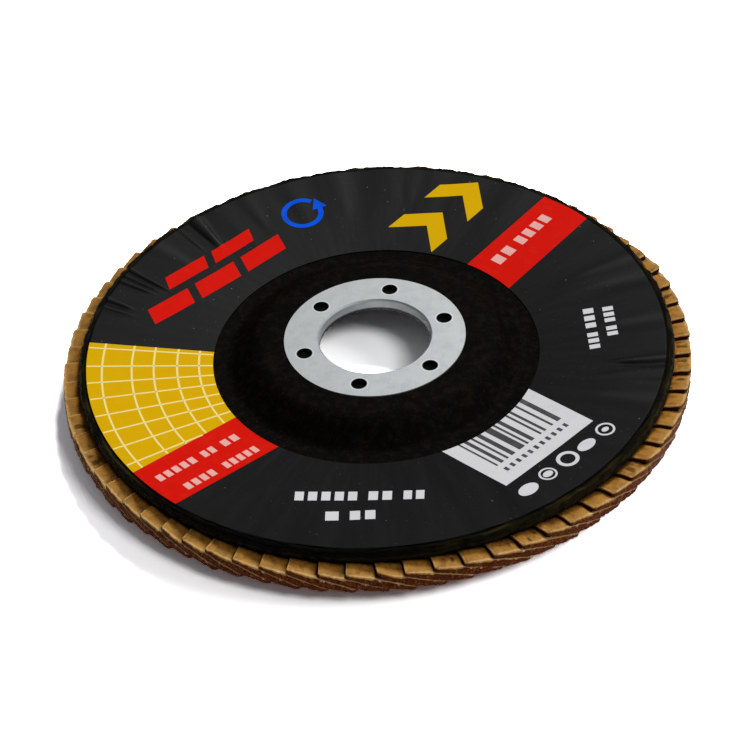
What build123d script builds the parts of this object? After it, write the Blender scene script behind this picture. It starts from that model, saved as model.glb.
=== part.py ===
from build123d import *
import os
from math import asin, ceil, cos, degrees, radians, sin, sqrt, tan

os.makedirs("parts", exist_ok=True)

# A conical (type 29) flap disc for a 125 mm angle grinder.
# Millimetres and degrees. The origin is on the bore's axis, in the flat face that the
# clamping nut seats on. +Z points to the grinder, so the printed label faces up and the
# flaps hang below the backing plate.

# ---------------------------------------------------------------- driving dimensions

# Flap pack
disc_radius = 62.5              # circle through the flaps' outer corners
flap_count = 72
flap_length = 22.5              # along the radius
flap_width = 13.5               # from the glued edge to the free edge
flap_thickness = 1.05           # cloth and grain together
flap_set_back = 8.5             # from a flap's radial centre line back to its glued edge
flap_clearance = 0.06           # air between neighbouring flaps at their inner ends
flaps_per_node = 2

# Backing plate: one moulded piece of phenolic glass fibre
hub_thickness = 2.4
hub_corner_radius = 23.7        # where the hub's flat would meet the slope
slope_angle = 40.0              # the slope that joins the hub to the cone
dish_depth = 4.5                # from the hub's top down to the foot of the slope
hub_bend_round = 4.7            # bends of the upper face, at the hub and at the foot
foot_bend_round = 2.5
cone_angle = 6.27               # the cone rises outwards
plate_thickness = 2.2
flap_overhang = 3.5             # from the plate's rim out to the flaps' outer corners

# Centre ring: a stamped steel eyelet pressed into the hub
arbor_radius = 11.115           # 22.23 mm arbor
collar_wall = 0.8
ring_radius = 18.0
ring_thickness = 0.8
ring_proud = 0.2                # how far the ring stands above the hub
bore_lip_bevel = 0.3
key_hole_count = 6
key_hole_radius = 1.45
key_hole_circle = 14.54         # radius of the circle that the key holes lie on
key_hole_turn = 14.95           # first key hole, from +X
ring_seat_clearance = 0.05

# Adhesive bead between the plate and the flaps
glue_film = 0.4                 # left between the plate and the flaps' glued edges
bead_rim_margin = 1.2           # from the plate's rim in to the bead
bead_flap_margin = 2.0          # from the flaps' inner ends out to the bead
flap_seat_clearance = 0.04

# Label and print
label_thickness = 0.2
label_rim_margin = 1.4          # from the plate's rim in to the label
label_slope_margin = 3.45       # from the foot of the slope out to the label
ink_thickness = 0.05

# Yellow sector
yellow_from = 173.5             # direction of the sector's first edge

# Red bands: direction, and the two sides measured square to it
left_band_turn = 220.4
left_band_sides = (-5.8, 6.6)
right_band_turn = 44.2
right_band_sides = (-7.8, 4.0)

# Two bold yellow chevrons that point along a direction
chevron_turn = 44.0
chevron_starts = [30.5, 42.0]
chevron_sides = (12.6, 24.8)
chevron_point = 5.4
chevron_stroke = 5.0

# Rows of slanted red blocks: start, side and height of each row
block_turn = 40.0
block_count = 3                 # in the first row, and each next row has one fewer
block_length = 10.4
block_step = 12.4
block_slant = 1.6
block_rows = [(-26.0, 37.6, 4.4), (-17.0, 44.0, 3.4)]

# Blue rotation arrow
arrow_centre = (-13.25, 45.2)
arrow_radius = 4.5
arrow_stroke = 1.1
arrow_head = 3.2
arrow_turn = 20.0

# White panel with its dark bars
panel_turn = -48.7
panel_half_width = 12.0
panel_reach = 46.9              # straight outer edge, from the bore's axis
bars_reach = 41.5
bar_places = [(-8.8, 0.4), (-7.6, 0.8), (-6.0, 0.5), (-4.7, 1.0), (-2.6, 1.5), (-0.5, 0.5),
              (0.7, 0.9), (3.1, 0.5), (4.3, 0.6), (6.3, 0.5), (7.9, 1.1)]

# ------------------------------------------------------------------ worked-out sizes

plate_radius = disc_radius - flap_overhang
slope_foot_radius = hub_corner_radius + dish_depth / tan(radians(slope_angle))
ring_top = hub_thickness + ring_proud
collar_radius = arbor_radius + collar_wall
label_inner = slope_foot_radius + label_slope_margin
label_outer = plate_radius - label_rim_margin

flap_pitch = 360.0 / flap_count
glued_corner_reach = sqrt(disc_radius ** 2 - flap_set_back ** 2)
flap_inner_end = glued_corner_reach - flap_length * cos(radians(cone_angle))

# Neighbouring flaps are one pitch apart round the disc, so a flap has to lean far enough
# for its thickness to fit into the pitch at its inner end. Flaps set back from the
# radius also close up a little, because the cone rises.
inner_pitch = flap_inner_end * radians(flap_pitch)
closing_up = flap_set_back * tan(radians(cone_angle)) * radians(flap_pitch)
flap_lean = degrees(asin((flap_thickness + flap_clearance + closing_up) / inner_pitch))

# The free edge lies further round the disc and, because the sheet leans on a cone, a
# little further out, most of all on its lower face. Whichever corner reaches furthest
# lies on the disc's circle.
lean_sin = sin(radians(flap_lean))
lean_cos = cos(radians(flap_lean))
free_edge_side = flap_width * lean_cos - flap_thickness * lean_sin - flap_set_back
free_edge_drop = flap_width * lean_sin + flap_thickness * lean_cos
free_edge_shift = free_edge_drop * sin(radians(cone_angle))
free_corner_reach = sqrt(disc_radius ** 2 - free_edge_side ** 2) - free_edge_shift
flap_outer_end = min(glued_corner_reach, free_corner_reach)

bead_inner = flap_inner_end + bead_flap_margin
bead_outer = plate_radius - bead_rim_margin

# The resin fills each step down to the flap below, and the step is deepest at the
# bead's outer edge, where the flaps are furthest apart.
bead_depth = glue_film + bead_outer * radians(flap_pitch) * tan(radians(flap_lean))


def cone_top(radius):
    """Height of the cone's upper face at a radius."""
    rise = (radius - slope_foot_radius) * tan(radians(cone_angle))
    return hub_thickness - dish_depth + rise


def cone_under(radius):
    """Height of the cone's lower face at a radius."""
    return cone_top(radius) - plate_thickness / cos(radians(cone_angle))


def cone_band(inner, outer, inner_heights, outer_heights):
    """Four-cornered section between two radii, with its low and high corners."""
    Polygon(
        (inner, inner_heights[0]),
        (outer, outer_heights[0]),
        (outer, outer_heights[1]),
        (inner, inner_heights[1]),
        align=None,
    )


def write(builder, name):
    """Name a finished piece and write its STEP file."""
    builder.part.label = name
    export_step(builder.part, f"parts/{name}.step")


# --------------------------------------------------------------------- backing plate
# The section follows the upper face outwards and the lower face back. The lower face
# runs parallel to the upper one, a plate's thickness away, and its corners are where
# the three offset lines meet.

slope_tan = tan(radians(slope_angle))
slope_shift = plate_thickness / cos(radians(slope_angle))
under_corner = hub_corner_radius + (hub_thickness - slope_shift) / slope_tan
cone_tan = tan(radians(cone_angle))
under_foot = (
    hub_thickness - slope_shift + hub_corner_radius * slope_tan
    - cone_under(0)
) / (slope_tan + cone_tan)
seat_floor = ring_top - ring_thickness
seat_radius = ring_radius + ring_seat_clearance
plate_bore = collar_radius + ring_seat_clearance

with BuildPart() as backing_plate:
    with BuildSketch(Plane.XZ):
        with BuildLine():
            upper = FilletPolyline(
                (seat_radius, hub_thickness),
                (hub_corner_radius, hub_thickness),
                (slope_foot_radius, cone_top(slope_foot_radius)),
                (plate_radius, cone_top(plate_radius)),
                radius=[hub_bend_round, foot_bend_round],
            )
            Polyline(
                upper @ 1,
                (plate_radius, cone_under(plate_radius)),
                (under_foot, cone_under(under_foot)),
                (under_corner, 0),
                (plate_bore, 0),
                (plate_bore, seat_floor),
                (seat_radius, seat_floor),
                upper @ 0,
            )
        make_face()
    revolve(axis=Axis.Z)
write(backing_plate, "backing_plate")

# ----------------------------------------------------------------------- centre ring
# A flat flange on a collar that lines the hub's bore, with a bevelled lip where the two
# meet and a ring of key holes through the flange.

with BuildPart() as centre_ring:
    with BuildSketch(Plane.XZ) as ring_section:
        with BuildLine():
            Polyline(
                (arbor_radius, 0),
                (collar_radius, 0),
                (collar_radius, seat_floor),
                (ring_radius, seat_floor),
                (ring_radius, ring_top),
                (arbor_radius, ring_top),
                close=True,
            )
        make_face()
        bore_lip = ring_section.vertices().group_by(Axis.Y)[-1].sort_by(Axis.X)[0]
        chamfer(bore_lip, length=bore_lip_bevel)
    revolve(axis=Axis.Z)
    with BuildSketch(Plane.XY.offset(seat_floor)):
        with PolarLocations(key_hole_circle, key_hole_count, start_angle=key_hole_turn):
            Circle(key_hole_radius)
    extrude(amount=ring_thickness, mode=Mode.SUBTRACT)
write(centre_ring, "centre_ring")

# --------------------------------------------------------------------------- flaps
# Each flap is a flat sheet. Its glued edge runs along the cone, set back from the
# radius, just under the plate, and the sheet leans down anticlockwise from there, so
# that every flap lies on the one before it.


def flap_plane(turn, lift=0.0):
    """Plane of a flap's upper face, with its origin at the outer end of the glued edge."""
    rise = radians(cone_angle)
    lean = radians(flap_lean)
    along = Vector(cos(rise), 0, sin(rise))
    normal = Vector(-cos(lean) * sin(rise), sin(lean), cos(lean) * cos(rise))
    corner_height = cone_under(disc_radius) - glue_film
    corner = Vector(flap_outer_end, -flap_set_back, corner_height) + normal * lift
    return Plane(
        origin=corner.rotate(Axis.Z, turn),
        x_dir=along.rotate(Axis.Z, turn),
        z_dir=normal.rotate(Axis.Z, turn),
    )


flap_turns = [flap_pitch * number for number in range(flap_count)]

for node in range(ceil(flap_count / flaps_per_node)):
    node_turns = flap_turns[node * flaps_per_node:(node + 1) * flaps_per_node]
    with BuildPart() as flaps:
        with BuildSketch(*[flap_plane(turn) for turn in node_turns]):
            Rectangle(flap_length, flap_width, align=(Align.MAX, Align.MIN))
        extrude(amount=-flap_thickness)
    write(flaps, f"flaps_{node + 1:02d}")

# --------------------------------------------------------------------- adhesive bead
# A ring of resin under the plate. It is cut away below every flap's upper face, so that
# each glued edge sits in a slanting pocket of its own and a wedge of resin fills the
# step down to the flap before it.

with BuildPart() as adhesive_bead:
    with BuildSketch(Plane.XZ):
        cone_band(
            bead_inner,
            bead_outer,
            (cone_under(bead_inner) - bead_depth, cone_under(bead_inner)),
            (cone_under(bead_outer) - bead_depth, cone_under(bead_outer)),
        )
    revolve(axis=Axis.Z)
    with BuildSketch(*[flap_plane(turn, flap_seat_clearance) for turn in flap_turns]):
        with Locations((0, -flap_seat_clearance)):
            Rectangle(flap_length, flap_width, align=(Align.MAX, Align.MIN))
    extrude(amount=-bead_depth, mode=Mode.SUBTRACT)
write(adhesive_bead, "adhesive_bead")

# ----------------------------------------------------------------------------- label
# A printed paper ring glued to the cone. The inks are thin films on it: a ground layer
# straight on the paper, and an overprint on top of the ground colours.


def paper_top(radius):
    """Height of the label's upper face at a radius."""
    return cone_top(radius) + label_thickness


with BuildPart() as label:
    with BuildSketch(Plane.XZ):
        cone_band(
            label_inner,
            label_outer,
            (cone_top(label_inner), paper_top(label_inner)),
            (cone_top(label_outer), paper_top(label_outer)),
        )
    revolve(axis=Axis.Z)
write(label, "label")

ground_layer = 0
overprint_layer = 1
ink_floor = Plane.XY.offset(cone_under(label_inner))
ink_height = hub_thickness + dish_depth


def ink_section(layer):
    """Section of one layer of ink over the label."""
    low = layer * ink_thickness
    high = low + ink_thickness
    cone_band(
        label_inner,
        label_outer,
        (paper_top(label_inner) + low, paper_top(label_inner) + high),
        (paper_top(label_outer) + low, paper_top(label_outer) + high),
    )


with BuildPart() as ground_ink:
    with BuildSketch(Plane.XZ):
        ink_section(ground_layer)
    revolve(axis=Axis.Z)

with BuildPart() as overprint_ink:
    with BuildSketch(Plane.XZ):
        ink_section(overprint_layer)
    revolve(axis=Axis.Z)


def polar_point(along, across, turn):
    """Point a distance along a direction from the axis, and a distance square to it."""
    direction = radians(turn)
    x = along * cos(direction) - across * sin(direction)
    y = along * sin(direction) + across * cos(direction)
    return (x, y)


def band(turn, sides, start, end):
    """Straight band along a direction, between its two sides."""
    Polygon(
        polar_point(start, sides[0], turn),
        polar_point(end, sides[0], turn),
        polar_point(end, sides[1], turn),
        polar_point(start, sides[1], turn),
        align=None,
    )


inside_label = label_inner - 2 * label_slope_margin
past_label = label_outer + 5 * label_slope_margin

# Yellow: a sector that ends at the left red band, and two bold chevrons.


def chevron(start):
    """Arrow-shaped stripe that points along its direction."""
    near, far = chevron_sides
    middle = (near + far) / 2
    Polygon(
        polar_point(start, near, chevron_turn),
        polar_point(start + chevron_stroke, near, chevron_turn),
        polar_point(start + chevron_stroke + chevron_point, middle, chevron_turn),
        polar_point(start + chevron_stroke, far, chevron_turn),
        polar_point(start, far, chevron_turn),
        polar_point(start + chevron_point, middle, chevron_turn),
        align=None,
    )


with BuildPart() as print_yellow:
    with BuildSketch(ink_floor):
        Polygon(
            polar_point(inside_label, 0, yellow_from),
            polar_point(past_label, 0, yellow_from),
            polar_point(past_label, left_band_sides[0], left_band_turn),
            polar_point(inside_label, left_band_sides[0], left_band_turn),
            align=None,
        )
        for chevron_start in chevron_starts:
            chevron(chevron_start)
    extrude(amount=ink_height)
    add(ground_ink.part, mode=Mode.INTERSECT)
write(print_yellow, "print_yellow")

# Red: two bands across the label, and two rows of slanted blocks.


def slanted_block(start, side, height):
    """Parallelogram that leans along its row."""
    Polygon(
        polar_point(start, side, block_turn),
        polar_point(start + block_length, side, block_turn),
        polar_point(start + block_length + block_slant, side + height, block_turn),
        polar_point(start + block_slant, side + height, block_turn),
        align=None,
    )


with BuildPart() as print_red:
    with BuildSketch(ink_floor):
        band(left_band_turn, left_band_sides, inside_label, past_label)
        band(right_band_turn, right_band_sides, inside_label, past_label)
        for row, (row_start, row_side, row_height) in enumerate(block_rows):
            for block in range(block_count - row):
                slanted_block(row_start + block * block_step, row_side, row_height)
    extrude(amount=ink_height)
    add(ground_ink.part, mode=Mode.INTERSECT)
write(print_red, "print_red")

# Blue: an open ring that ends in an arrow head, the sense of rotation.

with BuildPart() as print_blue:
    with BuildSketch(ink_floor):
        with Locations(arrow_centre):
            Circle(arrow_radius)
            Circle(arrow_radius - arrow_stroke, mode=Mode.SUBTRACT)
            with Locations(Location((0, 0, 0), (0, 0, arrow_turn))):
                Rectangle(arrow_radius, arrow_head, align=(Align.MIN, Align.MIN), mode=Mode.SUBTRACT)
                with Locations((arrow_radius - arrow_stroke / 2, 0)):
                    Polygon((-arrow_head / 2, 0), (arrow_head / 2, 0), (0, arrow_head), align=None)
    extrude(amount=ink_height)
    add(ground_ink.part, mode=Mode.INTERSECT)
write(print_blue, "print_blue")

# White: a panel that reaches from the label's inner edge to a straight outer edge.

with BuildPart() as print_white:
    with BuildSketch(ink_floor):
        band(panel_turn, (-panel_half_width, panel_half_width), inside_label, panel_reach)
    extrude(amount=ink_height)
    add(ground_ink.part, mode=Mode.INTERSECT)
write(print_white, "print_white")

# Dark bars of uneven width over the white panel.

with BuildPart() as print_bars:
    with BuildSketch(ink_floor):
        for bar_side, bar_width in bar_places:
            band(panel_turn, (bar_side, bar_side + bar_width), inside_label, bars_reach)
    extrude(amount=ink_height)
    add(overprint_ink.part, mode=Mode.INTERSECT)
write(print_bars, "print_bars")
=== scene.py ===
"""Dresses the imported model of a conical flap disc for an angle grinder.

Sizes are in millimetres and angles in degrees until a surface becomes a mesh, and meshes
are in metres. The origin is on the bore's axis, in the face that the clamping nut seats
on, and +Z points out of the printed label.
"""

import logging
import math
from dataclasses import dataclass, field
from enum import Enum
from typing import Sequence

import bpy
import numpy as np
from mathutils import Matrix, Vector


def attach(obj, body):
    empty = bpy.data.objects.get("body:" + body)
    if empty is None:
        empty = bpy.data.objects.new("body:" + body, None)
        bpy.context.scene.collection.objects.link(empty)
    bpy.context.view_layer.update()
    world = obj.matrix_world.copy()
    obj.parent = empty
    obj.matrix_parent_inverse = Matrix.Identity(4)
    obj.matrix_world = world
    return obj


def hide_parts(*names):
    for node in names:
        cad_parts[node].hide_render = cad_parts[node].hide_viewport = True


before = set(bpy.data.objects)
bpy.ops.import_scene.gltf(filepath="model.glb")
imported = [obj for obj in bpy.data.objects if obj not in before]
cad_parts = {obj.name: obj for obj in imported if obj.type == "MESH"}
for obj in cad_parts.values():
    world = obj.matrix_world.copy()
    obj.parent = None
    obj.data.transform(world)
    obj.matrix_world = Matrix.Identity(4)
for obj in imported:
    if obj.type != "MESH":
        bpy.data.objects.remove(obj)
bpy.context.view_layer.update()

log = logging.getLogger("flap_disc")

MM = 0.001
BODY = "root"
CRISP = math.radians(45.0)  # edges that bend by more stay crisp
WHITE = (1.0, 1.0, 1.0, 1.0)
Array = np.ndarray
Socket = bpy.types.NodeSocket
Material = bpy.types.Material
Colour = tuple[float, float, float, float]
Pair = tuple[float, float]


class Slot(Enum):
    """Material slots of the record."""

    PLATE = "fibre_plate"
    STEEL = "ring_steel"
    RESIN = "resin"
    PAPER = "label_paper"
    YELLOW = "yellow_ink"
    RED = "red_ink"
    BLUE = "blue_ink"
    WHITE = "white_ink"
    GREY = "grey_ink"
    CLOTH = "abrasive_cloth"


class Layer(Enum):
    """Height of an ink film's face above the paper."""

    GROUND = 0.03
    OVERPRINT = 0.055


def srgb(red: int, green: int, blue: int) -> Colour:
    """Linear colour of an 8-bit display colour."""
    shares = np.array([red, green, blue]) / 255.0
    linear = np.where(shares <= 0.04045, shares / 12.92, ((shares + 0.055) / 1.055) ** 2.4)
    return (float(linear[0]), float(linear[1]), float(linear[2]), 1.0)


# ------------------------------------------------------------------------- surfaces


@dataclass
class Surface:
    """A closed surface of four-cornered faces, with named values at its points.

    Attributes:
        points: One row of x, y, z for each point.
        faces: Four point numbers for each face.
        values: Numbers or vectors at the points, by name.
    """

    points: Array
    faces: Array
    values: dict[str, Array] = field(default_factory=dict)

    def volume(self) -> float:
        """Signed volume: the sum of the tetrahedra from the origin to the faces."""
        a, b, c, d = (self.points[self.faces[:, corner]] for corner in range(4))
        near = np.einsum("ij,ij->", a, np.cross(b, c))
        far = np.einsum("ij,ij->", a, np.cross(c, d))
        return float(near + far) / 6.0

    def outward(self) -> "Surface":
        """The same surface with its faces turned outwards."""
        if self.volume() < 0:
            self.faces = self.faces[:, ::-1]
        return self


def join(surfaces: Sequence[Surface]) -> Surface:
    """Puts several surfaces into one.

    Args:
        surfaces: Surfaces that hold the same named values.

    Returns:
        One surface with all their points, faces and values.
    """
    starts = np.cumsum([0] + [len(surface.points) for surface in surfaces[:-1]])
    return Surface(
        np.concatenate([surface.points for surface in surfaces]),
        np.concatenate([surface.faces + start for surface, start in zip(surfaces, starts)]),
        {
            name: np.concatenate([surface.values[name] for surface in surfaces])
            for name in surfaces[0].values
        },
    )


def grid_faces(numbers: Array) -> Array:
    """Faces between the neighbours in a grid of point numbers."""
    corners = (numbers[:-1, :-1], numbers[1:, :-1], numbers[1:, 1:], numbers[:-1, 1:])
    return np.stack(corners, axis=-1).reshape(-1, 4)


def closed_ring(points: Array, values: dict[str, Array]) -> Surface:
    """Closes a grid of points in both directions, like a tyre.

    Args:
        points: Grid of points, (round the axis, round the section, 3).
        values: Named grids of numbers at the same points.

    Returns:
        The closed surface.
    """
    numbers = np.arange(points.shape[0] * points.shape[1]).reshape(points.shape[:2])
    numbers = np.pad(numbers, ((0, 1), (0, 1)), mode="wrap")
    flat = {name: grid.ravel() for name, grid in values.items()}
    return Surface(points.reshape(-1, 3), grid_faces(numbers), flat).outward()


def slab(points: Array, values: dict[str, Array] | None = None) -> Surface:
    """Closes a stack of sheets: the first and last are its faces, and all share its edges.

    Args:
        points: Stacked grids of points, (sheet, row, column, 3).
        values: Named grids of numbers at the same points.

    Returns:
        The closed surface, without the points inside the stack.
    """
    sheets, rows, columns = points.shape[:3]
    numbers = np.arange(sheets * rows * columns).reshape(sheets, rows, columns)
    walk = [numbers[:, :-1, 0], numbers[:, -1, :-1], numbers[:, :0:-1, -1],
            numbers[:, 0, :0:-1], numbers[:, :1, 0]]
    border = np.concatenate(walk, axis=1)
    faces = np.concatenate(
        [grid_faces(numbers[0])[:, ::-1], grid_faces(numbers[-1]), grid_faces(border)[:, ::-1]]
    )
    used, faces = np.unique(faces, return_inverse=True)
    flat = {
        name: grid.reshape(sheets * rows * columns, *grid.shape[3:])[used]
        for name, grid in (values or {}).items()
    }
    return Surface(points.reshape(-1, 3)[used], faces.reshape(-1, 4), flat).outward()


def fibres(paths: Array, radius: float) -> Surface:
    """Square-sectioned strands that each follow a path of points.

    A strand's section is its radius times two directions square to its length.

    Args:
        paths: Points of all strands, (strand, point, 3).
        radius: Half a strand's diagonal.

    Returns:
        All strands as one surface, with both ends closed.
    """
    strands, steps = paths.shape[:2]
    length = paths[:, -1] - paths[:, 0]
    length /= np.linalg.norm(length, axis=1, keepdims=True)
    first = np.cross(length, np.array([0.31, 0.17, 0.93]))
    first /= np.linalg.norm(first, axis=1, keepdims=True)
    second = np.cross(length, first)
    turns = np.radians([0.0, 90.0, 180.0, 270.0])
    section = np.cos(turns)[:, None] * first[:, None] + np.sin(turns)[:, None] * second[:, None]
    points = paths[:, :, None] + radius * section[:, None]
    numbers = np.arange(strands * steps * 4).reshape(strands, steps, 4)
    walls = np.pad(numbers, ((0, 0), (0, 0), (0, 1)), mode="wrap")
    sides = np.stack(
        [walls[:, :-1, :-1], walls[:, :-1, 1:], walls[:, 1:, 1:], walls[:, 1:, :-1]], axis=-1
    ).reshape(-1, 4)
    faces = np.concatenate([sides, numbers[:, 0, ::-1], numbers[:, -1]])
    return Surface(points.reshape(-1, 3), faces).outward()


def rounded_path(corners: Array, rounds: Sequence[float], steps: Sequence[float],
                 arc_step: float = 0.3) -> Array:
    """Closed path along straight runs, with an arc at each corner.

    An arc's ends lie its radius times the tangent of half the turn from the corner.

    Args:
        corners: Corner points, (corner, 2).
        rounds: Radius of the arc at each corner.
        steps: Spacing of the points on the run that leaves each corner.
        arc_step: Spacing of the points on the arcs.

    Returns:
        Points along the path, (point, 2).
    """
    runs: list[Array] = []
    before = np.roll(corners, 1, axis=0)
    after = np.roll(corners, -1, axis=0)
    into = (corners - before) / np.linalg.norm(corners - before, axis=1, keepdims=True)
    out = (after - corners) / np.linalg.norm(after - corners, axis=1, keepdims=True)
    turn = np.arctan2(into[:, 0] * out[:, 1] - into[:, 1] * out[:, 0], (into * out).sum(axis=1))
    cut = np.abs(np.tan(turn / 2)) * np.array(rounds)
    starts = corners - into * cut[:, None]
    ends = corners + out * cut[:, None]
    for number, radius in enumerate(rounds):
        side = np.sign(turn[number])
        inward = side * np.array([-into[number, 1], into[number, 0]])
        centre = starts[number] + radius * inward
        count = 2 + int(abs(turn[number]) * radius / arc_step)
        swing = np.linspace(0, turn[number], count)[:, None]
        arc = centre - radius * (np.cos(swing) * inward - side * np.sin(swing) * into[number])
        following = starts[(number + 1) % len(corners)]
        count = max(1, round(np.linalg.norm(following - ends[number]) / steps[number]))
        share = np.linspace(0, 1, count, endpoint=False)[1:, None]
        run = ends[number] + share * (following - ends[number])
        runs.extend([arc if radius else corners[number:number + 1], run])
    return np.concatenate(runs)


@dataclass(frozen=True)
class Ripple:
    """A seamless unevenness round the disc.

    It is a sum of sine waves of the turn, each with a whole number of waves, a random
    phase and a height that falls with the number of waves.

    Attributes:
        seed: Seed of the random phases.
        least: Fewest waves round the disc.
        most: Most waves round the disc.
        waves: How many sine waves are added.
    """

    seed: int
    least: int
    most: int
    waves: int = 24

    def at(self, turn: Array) -> Array:
        """Unevenness at turns in radians, mostly between -1 and 1."""
        random = np.random.default_rng(self.seed)
        counts = random.integers(self.least, self.most, self.waves)
        phases = random.uniform(0, 2 * np.pi, self.waves)
        heights = (self.least / counts) ** 0.5
        waves = heights * np.sin(turn[..., None] * counts + phases)
        return waves.sum(axis=-1) / np.sqrt(np.sum(heights ** 2))


def polar(radius: Array, turn: Array, height: Array) -> Array:
    """Points at a radius, a turn in radians and a height, all of one shape."""
    return np.stack([radius * np.cos(turn), radius * np.sin(turn), height], axis=-1)


def smooth(value: Array, low: float, high: float) -> Array:
    """Eases from 0 at low to 1 at high: three squares less two cubes of the share."""
    share = np.clip((value - low) / (high - low), 0, 1)
    return share * share * (3 - 2 * share)


def heading(turn: float) -> Pair:
    """Cosine and sine of a direction in degrees."""
    return math.cos(math.radians(turn)), math.sin(math.radians(turn))


def link(name: str, data: bpy.types.ID) -> bpy.types.Object:
    """Makes an object of a mesh, a lamp or a camera, and puts it into the scene."""
    thing = bpy.data.objects.new(name, data)
    bpy.context.scene.collection.objects.link(thing)
    return thing


def make_piece(
    name: str,
    surface: Surface,
    material: Material,
    slot: Slot,
    replaces: Sequence[str] = (),
) -> bpy.types.Object:
    """Puts a surface into the scene as a piece of the disc.

    Args:
        name: Name of the piece.
        surface: Its shape, in millimetres.
        material: Its finish.
        slot: Slot of the record that its finish belongs to.
        replaces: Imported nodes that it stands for.

    Returns:
        The new object, which rides on the disc's body.
    """
    mesh = bpy.data.meshes.new(name)
    count = len(surface.faces)
    mesh.vertices.add(len(surface.points))
    mesh.vertices.foreach_set("co", (surface.points * MM).astype(np.float32).ravel())
    mesh.loops.add(count * 4)
    mesh.loops.foreach_set("vertex_index", surface.faces.astype(np.int32).ravel())
    mesh.polygons.add(count)
    mesh.polygons.foreach_set("loop_start", np.arange(0, count * 4, 4, dtype=np.int32))
    mesh.polygons.foreach_set("use_smooth", np.ones(count, bool))
    mesh.update(calc_edges=True)
    for title, numbers in surface.values.items():
        kind, key = ("FLOAT", "value") if numbers.ndim == 1 else ("FLOAT_VECTOR", "vector")
        attribute = mesh.attributes.new(title, kind, "POINT")
        attribute.data.foreach_set(key, numbers.astype(np.float32).ravel())
    mesh.set_sharp_from_angle(angle=CRISP)
    mesh.materials.append(material)
    piece = link(name, mesh)
    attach(piece, BODY)
    if replaces:
        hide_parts(*replaces)
    log.info("%s: %d faces, %s", name, count, slot.value)
    return piece


# ------------------------------------------------------------------------- finishes

Input = Socket | float | tuple


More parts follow.
